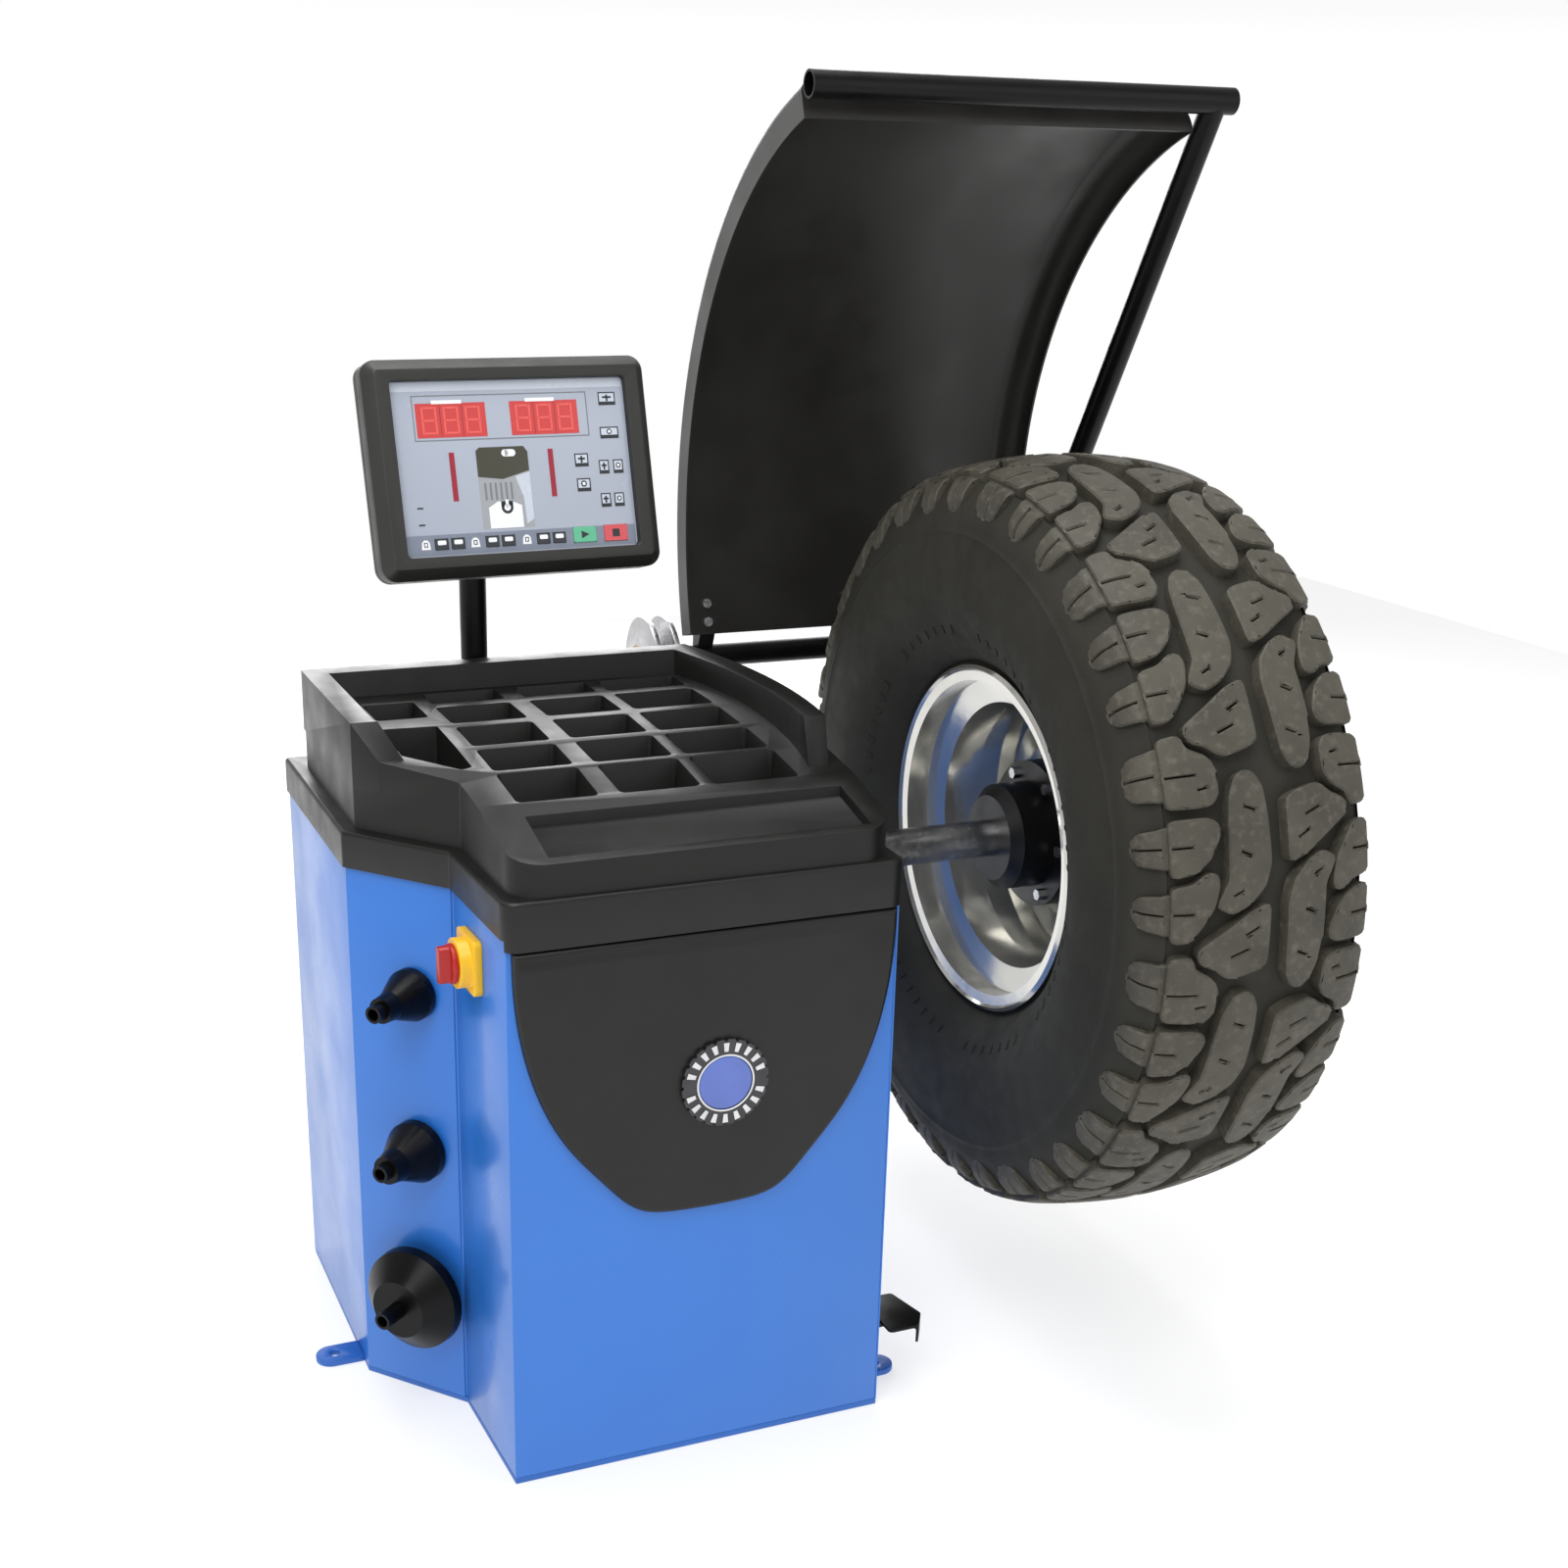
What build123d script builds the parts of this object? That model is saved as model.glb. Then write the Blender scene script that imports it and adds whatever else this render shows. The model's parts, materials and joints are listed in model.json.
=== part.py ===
"""Wheel balancer with a wheel guard hood, a weight tray and a large off-road wheel on its spindle.

Frame: origin on the floor, below the spindle axis and on the centre line of the front panel.
+X runs along the spindle towards the wheel, +Y to the back, +Z up. Millimetres.
"""
from build123d import *
from math import atan2, cos, degrees, radians, sin
import os

os.makedirs("parts", exist_ok=True)

# ---- driving dimensions ------------------------------------------------------------------------
SPINDLE_Z = 665            # spindle axis above the floor
SHEET = 2                  # cabinet sheet steel
BASE_T = 8                 # base plate
FRONT_Y = -268             # front panel
BACK_Y = 393               # back panel
HALF_FRONT = 243           # half the width of the front panel
LEFT_X = -351              # left side panel
SEAM = (-250, -75)         # vertical seam between the front panel's return and the peg panel
PEG_BACK_Y = 46            # where the peg panel meets the left side
CABINET_TOP = 705          # top of the sheet panels, underside of the tray's band
PLAN = [(HALF_FRONT, FRONT_Y), (-HALF_FRONT, FRONT_Y), SEAM, (LEFT_X, PEG_BACK_Y), (LEFT_X, BACK_Y),
        (HALF_FRONT, BACK_Y)]

TYRE_R = 508               # 40 inch off-road tyre
WHEEL_X = 618              # middle of the tyre
HALF_TYRE = 168            # half its section width
HALF_RIM = 120.5           # 9.5 inch rim, between the bead flanges
LIP_R = 235.7              # outside of the rim's lip
SEAT_R = 218.4             # 17 inch bead seat
WELL_R = 186               # drop centre
RIM_T = 4
PAD_X = 605                # face of the backing flange, where the wheel's disc seats
BORE_R = 54.4              # centre bore of the wheel

SHAFT_R = 25               # spindle in its bearings and out to the hub
NOSE_R = 20                # nose that carries cone and nut
NOSE_END = 780
NOSE_STEP = 700            # the last part is a little thinner, to start cones and nut easily
NOSE_TIP_R = 19
RUN_FIT = 0.05             # radial clearance of a running fit
GAP = 0.3                  # clearance between curved faces on different bodies

HINGE_Y = 525              # hood hinge axis
HINGE_Z = 817
TUBE_R = 17
TUBE_BORE_R = 14
HOOD_R = 620.6             # outside radius of the hood's curve
HOOD_CY = -90              # its centre
HOOD_CZ = 1030.5
HOOD_FROM = -16.5          # lower end of the curve, degrees above the horizontal
HOOD_TO = 70.4             # upper end
HOOD_X0 = 257
HOOD_X1 = 815
HOOD_T = 3
ARM_X = 835
TOP_Y = 88                 # tube along the hood's upper edge
TOP_Z = 1611


def save(piece, label):
    """Name a finished piece and write it."""
    piece.part.label = label
    export_step(piece.part, f"parts/{label}.step")


def axial(x):
    """Plane across the spindle at x: its own x is +Y and its own y is +Z from the spindle axis."""
    return Plane(origin=(x, 0, SPINDLE_Z), x_dir=(0, 1, 0), z_dir=(1, 0, 0))


# ---- cabinet -----------------------------------------------------------------------------------
with BuildPart() as base_plate:
    with BuildSketch():
        with BuildLine():
            Polyline(*PLAN, close=True)
        make_face()
    extrude(amount=BASE_T)
save(base_plate, "base_plate")

FOOT_W = 42
FOOT_REACH = 60
FOOT_HOLE_R = 7
FEET = [(LEFT_X, 92, 180), (HALF_FRONT, -190, 0), (HALF_FRONT, 330, 0)]   # x, y, outward heading
with BuildPart() as anchor_feet:
    for x, y, heading in FEET:
        with BuildSketch(Plane(origin=(x, y, 0)).rotated((0, 0, heading))):
            with BuildLine():
                foot_edge = FOOT_REACH - FOOT_W / 2
                Line((0, -FOOT_W / 2), (foot_edge, -FOOT_W / 2))
                ThreePointArc((foot_edge, -FOOT_W / 2), (FOOT_REACH, 0), (foot_edge, FOOT_W / 2))
                Polyline((foot_edge, FOOT_W / 2), (0, FOOT_W / 2), (0, -FOOT_W / 2))
            make_face()
            with Locations((foot_edge - 4, 0)):
                Circle(FOOT_HOLE_R, mode=Mode.SUBTRACT)
        extrude(amount=BASE_T)
save(anchor_feet, "anchor_feet")


def sheet_wall(low, high):
    """The part of the cabinet's sheet steel wall whose plan lies between two corners."""
    with BuildSketch(Plane.XY.offset(BASE_T)) as wall:
        with BuildLine():
            Polyline(*PLAN, close=True)
        make_face()
        with BuildLine():
            Polyline(*PLAN, close=True)
            offset(amount=-SHEET, mode=Mode.REPLACE)
        make_face(mode=Mode.SUBTRACT)
        with Locations(((low[0] + high[0]) / 2, (low[1] + high[1]) / 2)):
            Rectangle(high[0] - low[0], high[1] - low[1], mode=Mode.INTERSECT)
    return wall


WALL_H = CABINET_TOP - BASE_T
BEYOND = 100
RIGHT_IN = HALF_FRONT - SHEET
BACK_IN = BACK_Y - SHEET
front_wall = sheet_wall((LEFT_X - BEYOND, FRONT_Y - BEYOND), (RIGHT_IN, SEAM[1]))
with BuildPart() as front_panel:
    add(front_wall.sketch)
    extrude(amount=WALL_H)
save(front_panel, "front_panel")

PEG_ALONG = 60                                     # pegs stand this far from the seam
PEG_HEIGHTS = (560, 350, 150)
PEG_R = 11
PEG_BORE_R = 7.5
PEG_LEN = (84, 84, 92)
peg_angle = atan2(PEG_BACK_Y - SEAM[1], LEFT_X - SEAM[0])
peg_normal = (-sin(peg_angle), cos(peg_angle), 0)
peg_x = SEAM[0] + PEG_ALONG * cos(peg_angle)
peg_y = SEAM[1] + PEG_ALONG * sin(peg_angle)


def peg_plane(height, out=0.0):
    """Plane on the peg panel at a height, facing outwards."""
    origin = (peg_x + peg_normal[0] * out, peg_y + peg_normal[1] * out, height)
    return Plane(origin=origin, x_dir=(cos(peg_angle), sin(peg_angle), 0), z_dir=peg_normal)


left_wall = sheet_wall((LEFT_X - BEYOND, SEAM[1]), (0, BACK_IN))
with BuildPart() as left_panel:
    add(left_wall.sketch)
    extrude(amount=WALL_H)
save(left_panel, "left_panel")

HOUSING_R = 74
PEDAL_Y = -216
PEDAL_Z = 92
PEDAL_SLOT_W = 46
right_wall = sheet_wall((RIGHT_IN, FRONT_Y - BEYOND), (HALF_FRONT + BEYOND, BACK_IN))
with BuildPart() as right_panel:
    add(right_wall.sketch)
    extrude(amount=WALL_H)
    with BuildSketch(axial(HALF_FRONT)):
        Circle(41)
    extrude(amount=-20, mode=Mode.SUBTRACT)
    with BuildSketch(axial(HALF_FRONT)):
        with Locations((PEDAL_Y, PEDAL_Z - SPINDLE_Z - 8)):
            Rectangle(PEDAL_SLOT_W, 62)
    extrude(amount=-20, mode=Mode.SUBTRACT)
save(right_panel, "right_panel")

INLET_X = -250
INLET_Z = 150
VENT_COUNT = 9
back_wall = sheet_wall((LEFT_X - BEYOND, BACK_IN), (HALF_FRONT + BEYOND, BACK_Y + BEYOND))
with BuildPart() as back_panel:
    add(back_wall.sketch)
    extrude(amount=WALL_H)
    with BuildSketch(Plane.XZ.offset(-BACK_Y)):
        with Locations((INLET_X, INLET_Z)):
            Rectangle(30, 24)
        with Locations((-60, 260)):
            with GridLocations(0, 16, 1, VENT_COUNT):
                SlotOverall(150, 6)
    extrude(amount=20, mode=Mode.SUBTRACT)
save(back_panel, "back_panel")

with BuildPart() as power_inlet:
    with BuildSketch(Plane.XZ.offset(-BACK_Y)):
        with Locations((INLET_X, INLET_Z)):
            RectangleRounded(44, 36, 4)
    extrude(amount=-3)
    with BuildSketch(Plane.XZ.offset(-BACK_Y)):
        with Locations((INLET_X, INLET_Z)):
            Rectangle(29.4, 23.4)
    extrude(amount=24)
    with BuildSketch(Plane.XZ.offset(-BACK_Y - 3)):
        with Locations((INLET_X, INLET_Z)):
            Rectangle(24, 17)
    extrude(amount=20, mode=Mode.SUBTRACT)
    with BuildSketch(Plane.XZ.offset(-BACK_Y + 17)):
        with Locations((INLET_X, INLET_Z)):
            with GridLocations(7, 0, 3, 1):
                Rectangle(2, 5)
    extrude(amount=-15)
save(power_inlet, "power_inlet")

with BuildPart() as panel_screws:
    for z in (60, 320, 560):
        for x in (LEFT_X + 30, HALF_FRONT - 30):
            with BuildSketch(Plane.XZ.offset(-BACK_Y)):
                with Locations((x, z)):
                    Circle(6)
            extrude(amount=-3)
    fillet(panel_screws.faces().group_by(Axis.Y)[-1].edges(), 1.5)
save(panel_screws, "panel_screws")

# ---- weight tray -------------------------------------------------------------------------------
BAND_TOP = 750             # the band round the cabinet's top edge
BAND_OUT = 4               # it stands proud of the sheet
SKIRT_Z = 692              # its front skirt reaches down to the apron
SKIRT_OUT = 10
BAND_PLAN = [(HALF_FRONT + BAND_OUT, FRONT_Y - SKIRT_OUT), (-HALF_FRONT - BAND_OUT, FRONT_Y - SKIRT_OUT),
             (-254.6, -76), (LEFT_X - BAND_OUT, 44), (LEFT_X - BAND_OUT, BACK_Y + BAND_OUT),
             (HALF_FRONT + BAND_OUT, BACK_Y + BAND_OUT)]
BAND_CORNERS = [20, 20, 6, 8, 8, 8]
WALL = 5
RIM_Z = 880
RIM_W = 30
TRAY_LEFT = -336
TRAY_BACK = 345
TRAY_RIGHT = 238
POCKET_DEPTH = 38
POCKET_TAPER = -5
POCKET_DRAFT = 7           # how much smaller a pocket is at its floor
TRAY_DROP = 13
CUP_WALL = 4
ABOVE = 1000
# crest line of the deck, front to back, in Y and Z
DECK = [(FRONT_Y - 2, 788), (-135, 821), (-50, 832), (48, 840), (150, 845), (TRAY_BACK + 10, 846)]
TRAY_PLAN = [(TRAY_RIGHT, FRONT_Y), (-232, FRONT_Y), (-236, -66), (TRAY_LEFT, 54),
             (TRAY_LEFT, TRAY_BACK), (TRAY_RIGHT, TRAY_BACK)]
TRAY_CORNERS = [44, 40, 10, 4, 12, 12]
COLUMNS = [(-138, 100), (-11, 102), (112, 112)]    # centre and width in x
ROWS = [(276, 56), (188, 84), (90, 80), (-2, 76), (-93, 86)]
LEFT_POCKET = (-241, 68, 226, 82)
CORNER_POCKET = [(-279, 145), (-208, 141), (-208, -20), (-222, -26), (-279, 38)]


def deck_z(y):
    """Height of the deck at y."""
    for (y0, z0), (y1, z1) in zip(DECK, DECK[1:]):
        if y <= y1:
            return z0 + (z1 - z0) * (y - y0) / (y1 - y0)
    return DECK[-1][1]


CORNER_FLOOR = deck_z(-34) - POCKET_DEPTH
FRONT_TRAY_X0 = -188
FRONT_TRAY_X1 = 208
FRONT_TRAY_Y0 = -255
FRONT_TRAY_Y1 = -166


def across(x):
    """Plane across the cabinet at x: its own x is +Y and its own y is +Z."""
    return Plane(origin=(x, 0, 0), x_dir=(0, 1, 0), z_dir=(1, 0, 0))


with BuildPart() as hollow:
    with BuildSketch(Plane.XY.offset(CABINET_TOP)):
        with BuildLine():
            FilletPolyline(*TRAY_PLAN, radius=TRAY_CORNERS, close=True)
            offset(amount=-WALL, mode=Mode.REPLACE)
        make_face()
    extrude(amount=RIM_Z - CABINET_TOP)
    with BuildSketch(across(TRAY_LEFT)):
        with BuildLine():
            Polyline(*[(y, z - WALL) for y, z in DECK], (TRAY_BACK + 10, ABOVE),
                     (FRONT_Y - 2, ABOVE), close=True)
        make_face()
    extrude(amount=2 * abs(TRAY_LEFT), mode=Mode.SUBTRACT)
    with BuildSketch(Plane.XY.offset(CABINET_TOP)):
        with BuildLine():
            Polyline(*PLAN, close=True)
            offset(amount=-WALL - SHEET, mode=Mode.REPLACE)
        make_face()
    extrude(amount=BAND_TOP - CABINET_TOP - WALL)

with BuildPart() as band:
    with BuildSketch(Plane.XY.offset(SKIRT_Z)):
        with BuildLine():
            FilletPolyline(*BAND_PLAN, radius=BAND_CORNERS, close=True)
        make_face()
    extrude(amount=BAND_TOP - SKIRT_Z)
    fillet(band.faces().sort_by(Axis.Z)[-1].edges(), 5)
    # behind the front sheet it sits on the panels' top edge
    with BuildSketch(Plane.XY.offset(SKIRT_Z - 1)):
        with Locations((0, FRONT_Y - GAP + 400)):
            Rectangle(900, 800)
    extrude(amount=CABINET_TOP - SKIRT_Z + 1, mode=Mode.SUBTRACT)

with BuildPart() as weight_tray:
    # raised body on the band
    with BuildSketch(Plane.XY.offset(CABINET_TOP)):
        with BuildLine():
            FilletPolyline(*TRAY_PLAN, radius=TRAY_CORNERS, close=True)
        make_face()
    extrude(amount=RIM_Z - CABINET_TOP)
    add(band.part)
    add(hollow.part, mode=Mode.SUBTRACT)
    # walls of the pockets, of the corner pocket and of the long front tray, up to the deck
    for x, width, y, depth in [(x, w, y, d) for x, w in COLUMNS for y, d in ROWS] + [LEFT_POCKET]:
        floor = deck_z(y - depth / 2) - POCKET_DEPTH - CUP_WALL
        with BuildSketch(Plane.XY.offset(floor)):
            with Locations((x, y)):
                RectangleRounded(width - POCKET_DRAFT + 2 * CUP_WALL, depth - POCKET_DRAFT + 2 * CUP_WALL, 4)
        extrude(amount=deck_z(y + depth / 2) - floor, taper=POCKET_TAPER)
    with BuildSketch(Plane.XY.offset(CORNER_FLOOR - CUP_WALL)):
        with BuildLine():
            FilletPolyline(*CORNER_POCKET, radius=5, close=True)
            offset(amount=CUP_WALL, mode=Mode.REPLACE)
        make_face()
    extrude(amount=DECK[-1][1] - CORNER_FLOOR)
    with BuildSketch(across(FRONT_TRAY_X0 - CUP_WALL)):
        with BuildLine():
            y0, y1 = FRONT_TRAY_Y0 - CUP_WALL, FRONT_TRAY_Y1 + CUP_WALL
            Polyline((y0, deck_z(y0) - TRAY_DROP - CUP_WALL), (y1, deck_z(y1) - TRAY_DROP - CUP_WALL),
                     (y1, deck_z(y1)), (y0, deck_z(y0)), close=True)
        make_face()
    extrude(amount=FRONT_TRAY_X1 - FRONT_TRAY_X0 + 2 * CUP_WALL)
    # the deck's crest line
    with BuildSketch(across(TRAY_LEFT - 10)):
        with BuildLine():
            Polyline(*DECK, (TRAY_BACK + 10, ABOVE), (FRONT_Y - 2, ABOVE), close=True)
        make_face()
    extrude(amount=TRAY_RIGHT - TRAY_LEFT + 20, mode=Mode.SUBTRACT)
    # raised rim round the left, back and right
    with BuildSketch(Plane.XY.offset(BAND_TOP + 50)):
        with BuildLine():
            Polyline((TRAY_LEFT + 26, 22), (TRAY_LEFT, 54), (TRAY_LEFT, TRAY_BACK), (202, TRAY_BACK))
            ThreePointArc((202, TRAY_BACK), (236, 130), (218, -112))
            Line((218, -112), (190, -112))
            ThreePointArc((190, -112), (206, 110), (176, TRAY_BACK - RIM_W))
            Polyline((176, TRAY_BACK - RIM_W), (TRAY_LEFT + RIM_W, TRAY_BACK - RIM_W),
                     (TRAY_LEFT + RIM_W, 58), (TRAY_LEFT + 56, 22), (TRAY_LEFT + 26, 22))
        make_face()
    extrude(amount=RIM_Z - BAND_TOP - 50)
    for start, x, (y0, z0), (y1, z1) in ((TRAY_LEFT - 10, 120, (22, 838), (54, RIM_Z)),
                                         (150, 120, (-112, 824), (-84, RIM_Z))):
        with BuildSketch(across(start)):
            with BuildLine():
                Polyline((y0, z0), (y1, z1), (y1, ABOVE), (y0 - 10, ABOVE), (y0 - 10, z0), close=True)
            make_face()
        extrude(amount=x, mode=Mode.SUBTRACT)
    # open insides of the pockets
    for x, width, y, depth in [(x, w, y, d) for x, w in COLUMNS for y, d in ROWS] + [LEFT_POCKET]:
        with BuildSketch(Plane.XY.offset(deck_z(y - depth / 2) - POCKET_DEPTH)):
            with Locations((x, y)):
                RectangleRounded(width - POCKET_DRAFT, depth - POCKET_DRAFT, 4)
        extrude(amount=60, taper=POCKET_TAPER, mode=Mode.SUBTRACT)
    with BuildSketch(Plane.XY.offset(CORNER_FLOOR)):
        with BuildLine():
            FilletPolyline(*CORNER_POCKET, radius=5, close=True)
        make_face()
    extrude(amount=60, mode=Mode.SUBTRACT)
    # the long shallow tray's floor follows the deck
    with BuildSketch(across(FRONT_TRAY_X0)):
        with BuildLine():
            y0, y1 = FRONT_TRAY_Y0, FRONT_TRAY_Y1
            Polyline((y0, deck_z(y0) - TRAY_DROP), (y1, deck_z(y1) - TRAY_DROP), (y1, ABOVE), (y0, ABOVE),
                     close=True)
        make_face()
    extrude(amount=FRONT_TRAY_X1 - FRONT_TRAY_X0, mode=Mode.SUBTRACT)
save(weight_tray, "weight_tray")

# ---- apron and badge ---------------------------------------------------------------------------
APRON_T = 12
BADGE = (16, 501)
BADGE_R = 55
BADGE_DISC_R = 34
APRON_SIDE = [(237, 0), (231, -94), (212, -172), (176, -246), (128, -305), (84, -344), (40, -352),
              (0, -353)]
with BuildPart() as front_apron:
    with BuildSketch(Plane.XZ.offset(-FRONT_Y)):
        with BuildLine():
            half = [(x, SKIRT_Z - 2 + drop) for x, drop in APRON_SIDE]
            Spline(*half, *[(-x, z) for x, z in reversed(half[:-1])])
            Line(half[0], (-half[0][0], half[0][1]))
        make_face()
    extrude(amount=APRON_T)
    fillet(front_apron.faces().sort_by(Axis.Y)[0].edges(), 7)
save(front_apron, "front_apron")

with BuildPart() as badge_ring:
    with BuildSketch(Plane.XZ.offset(-FRONT_Y + APRON_T)):
        with Locations(BADGE):
            Circle(BADGE_R)
            Circle(BADGE_DISC_R + 0.1, mode=Mode.SUBTRACT)
            with PolarLocations(BADGE_R, 24):
                Circle(2.5, mode=Mode.SUBTRACT)
    extrude(amount=5)
save(badge_ring, "badge_ring")

with BuildPart() as badge_disc:
    with BuildSketch(Plane.XZ.offset(-FRONT_Y + APRON_T)):
        with Locations(BADGE):
            Circle(BADGE_DISC_R)
    extrude(amount=6)
    fillet(badge_disc.faces().sort_by(Axis.Y)[0].edges(), 3)
save(badge_disc, "badge_disc")

# ---- pegs and storage cones --------------------------------------------------------------------
with BuildPart() as cone_pegs:
    for height, length in zip(PEG_HEIGHTS, PEG_LEN):
        with BuildSketch(peg_plane(height)):
            Circle(PEG_R)
            Circle(PEG_BORE_R, mode=Mode.SUBTRACT)
        extrude(amount=length)
save(cone_pegs, "cone_pegs")

CONE_START = 4             # the cones' large ends stand this far off the panel
# name, height on the panel, profile as (distance from the panel, radius)
CONES = [("small_cone", PEG_HEIGHTS[0], [(4, 33), (14, 33), (50, 18), (70, 16)]),
         ("medium_cone", PEG_HEIGHTS[1], [(4, 40), (16, 40), (52, 22), (72, 18)]),
         ("large_cone", PEG_HEIGHTS[2], [(9, 60), (18, 68), (32, 67), (56, 42), (60, 38)])]
for cone_name, height, profile in CONES:
    seat = peg_plane(height)
    turning = Plane(origin=seat.origin, x_dir=seat.x_dir, z_dir=seat.x_dir.cross(seat.z_dir))
    with BuildPart() as storage_cone:
        with BuildSketch(turning):
            with BuildLine():
                up = -1 if turning.y_dir.dot(seat.z_dir) < 0 else 1
                bore = PEG_R + GAP
                outline = [(radius, up * along) for along, radius in profile]
                Polyline((bore, outline[0][1]), *outline, (bore, outline[-1][1]), close=True)
            make_face()
        revolve(axis=Axis(seat.origin, seat.z_dir))
    save(storage_cone, cone_name)

# ---- main switch -------------------------------------------------------------------------------
SWITCH_Y = -150
SWITCH_Z = 640
switch_angle = atan2(SEAM[1] - FRONT_Y, SEAM[0] + HALF_FRONT)
switch_normal = (-sin(switch_angle), cos(switch_angle), 0)
switch_x = SEAM[0] + (SEAM[1] - SWITCH_Y) / (SEAM[1] - FRONT_Y) * (SEAM[0] + HALF_FRONT) * -1


def switch_plane(out=0.0):
    """Plane on the front panel's return at the switch, facing outwards."""
    origin = (switch_x + switch_normal[0] * out, SWITCH_Y + switch_normal[1] * out, SWITCH_Z)
    return Plane(origin=origin, x_dir=(-cos(switch_angle), -sin(switch_angle), 0),
                 z_dir=switch_normal)


SWITCH_BODY = 24
KNOB_R = 24
with BuildPart() as switch_plate:
    with BuildSketch(switch_plane()):
        RectangleRounded(68, 68, 8)
    extrude(amount=10)
    with BuildSketch(switch_plane(10)):
        Circle(30)
    extrude(amount=SWITCH_BODY - 10)
save(switch_plate, "switch_plate")

with BuildPart() as switch_knob:
    with BuildSketch(switch_plane(SWITCH_BODY + GAP)):
        Circle(KNOB_R)
    extrude(amount=6)
    with BuildSketch(switch_plane(SWITCH_BODY + GAP + 6)):
        RectangleRounded(14, 2 * KNOB_R - 3, 5)
    extrude(amount=13)
save(switch_knob, "switch_knob")

# ---- spindle and its housing -------------------------------------------------------------------
HOUSING_X0 = 90
HOUSING_BORE_R = 30
NECK_R = 38                # passes under the tray's band
NOSE_HOUSING_R = 60
HOUSING_X1 = 330
BEARING_R = 45
BEARING_W = 20
PULLEY_X0 = 30
PULLEY_X1 = 78
BELT_X0 = 54
PULLEY_R = 100
COLUMN_TOP = 585
HUB_X = 515
HUB_R = 72
FLANGE_X = 577
FLANGE_R = 100


def ring(x0, x1, outer, inner):
    """A ring about the spindle axis, from x0 to x1."""
    with BuildPart() as piece:
        with BuildSketch(axial(x0)):
            Circle(outer)
            Circle(inner, mode=Mode.SUBTRACT)
        extrude(amount=x1 - x0)
    return piece.part


with BuildPart() as spindle_shaft:
    with BuildSketch(axial(10)):
        Circle(SHAFT_R)
    extrude(amount=PAD_X - 10)
    with BuildSketch(axial(PAD_X)):
        Circle(NOSE_R)
    extrude(amount=NOSE_STEP - PAD_X)
    with BuildSketch(axial(NOSE_STEP)):
        Circle(NOSE_TIP_R)
    extrude(amount=NOSE_END - NOSE_STEP)
    chamfer(spindle_shaft.faces().sort_by(Axis.X)[-1].edges(), 3)
save(spindle_shaft, "spindle_shaft")

with BuildPart() as spindle_housing:
    add(ring(HOUSING_X0, HALF_FRONT - 18, HOUSING_R, HOUSING_BORE_R))
    add(ring(HALF_FRONT - 18, HALF_FRONT + 10, NECK_R, HOUSING_BORE_R))
    add(ring(HALF_FRONT + 10, HOUSING_X1, NOSE_HOUSING_R, HOUSING_BORE_R))
    with BuildSketch(Plane.XY.offset(COLUMN_TOP)):
        with Locations((165, 0)):
            Rectangle(130, 130)
    extrude(amount=14)
    for y in (-50, 0, 50):
        with BuildSketch(Plane.XZ.offset(-y - 6)):
            with Locations((165, 620)):
                Rectangle(110, 60)
        extrude(amount=12)
    with BuildSketch(axial(HOUSING_X0)):
        Circle(HOUSING_BORE_R)
    extrude(amount=HOUSING_X1 - HOUSING_X0, mode=Mode.SUBTRACT)
    for x in (HOUSING_X0, HOUSING_X1 - BEARING_W - 5):
        with BuildSketch(axial(x)):
            Circle(BEARING_R)
        extrude(amount=BEARING_W + 5, mode=Mode.SUBTRACT)
save(spindle_housing, "spindle_housing")

with BuildPart() as spindle_bearings:
    for x in (HOUSING_X0 + 5, HOUSING_X1 - BEARING_W - 5):
        add(ring(x, x + BEARING_W, BEARING_R, SHAFT_R + RUN_FIT))
save(spindle_bearings, "spindle_bearings")

with BuildPart() as spindle_pedestal:
    with BuildSketch(Plane.XY.offset(BASE_T)):
        with Locations((165, 0)):
            Rectangle(130, 190)
    extrude(amount=12)
    with BuildSketch(Plane.XY.offset(BASE_T + 12)):
        with Locations((165, 0)):
            Rectangle(126, 130)
            Rectangle(110, 114, mode=Mode.SUBTRACT)
    extrude(amount=COLUMN_TOP - BASE_T - 24)
    with BuildSketch(Plane.XY.offset(COLUMN_TOP - 12)):
        with Locations((165, 0)):
            Rectangle(130, 134)
    extrude(amount=12)
save(spindle_pedestal, "spindle_pedestal")

with BuildPart() as driven_pulley:
    add(ring(PULLEY_X0, PULLEY_X1, PULLEY_R, PULLEY_R - 9))
    add(ring(PULLEY_X0 + 18, PULLEY_X0 + 28, PULLEY_R - 9, 36))
    add(ring(PULLEY_X0 + 4, PULLEY_X1 - 4, 36, SHAFT_R))
save(driven_pulley, "driven_pulley")

with BuildPart() as encoder_disc:
    with BuildSketch(axial(14)):
        Circle(58)
        Circle(SHAFT_R, mode=Mode.SUBTRACT)
        with PolarLocations(51, 32):
            Rectangle(6, 4, mode=Mode.SUBTRACT)
    extrude(amount=3)
save(encoder_disc, "encoder_disc")

with BuildPart() as mounting_flange:
    add(ring(HUB_X, FLANGE_X, HUB_R, SHAFT_R))
    add(ring(FLANGE_X, PAD_X, FLANGE_R, SHAFT_R))
    chamfer(mounting_flange.faces().sort_by(Axis.X)[0].edges().sort_by(SortBy.RADIUS)[-1], 14)
save(mounting_flange, "mounting_flange")

with BuildPart() as flange_bolts:
    with BuildSketch(axial(FLANGE_X)):
        with PolarLocations(86, 6):
            RegularPolygon(8, 6)
    extrude(amount=-8)
save(flange_bolts, "flange_bolts")

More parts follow.
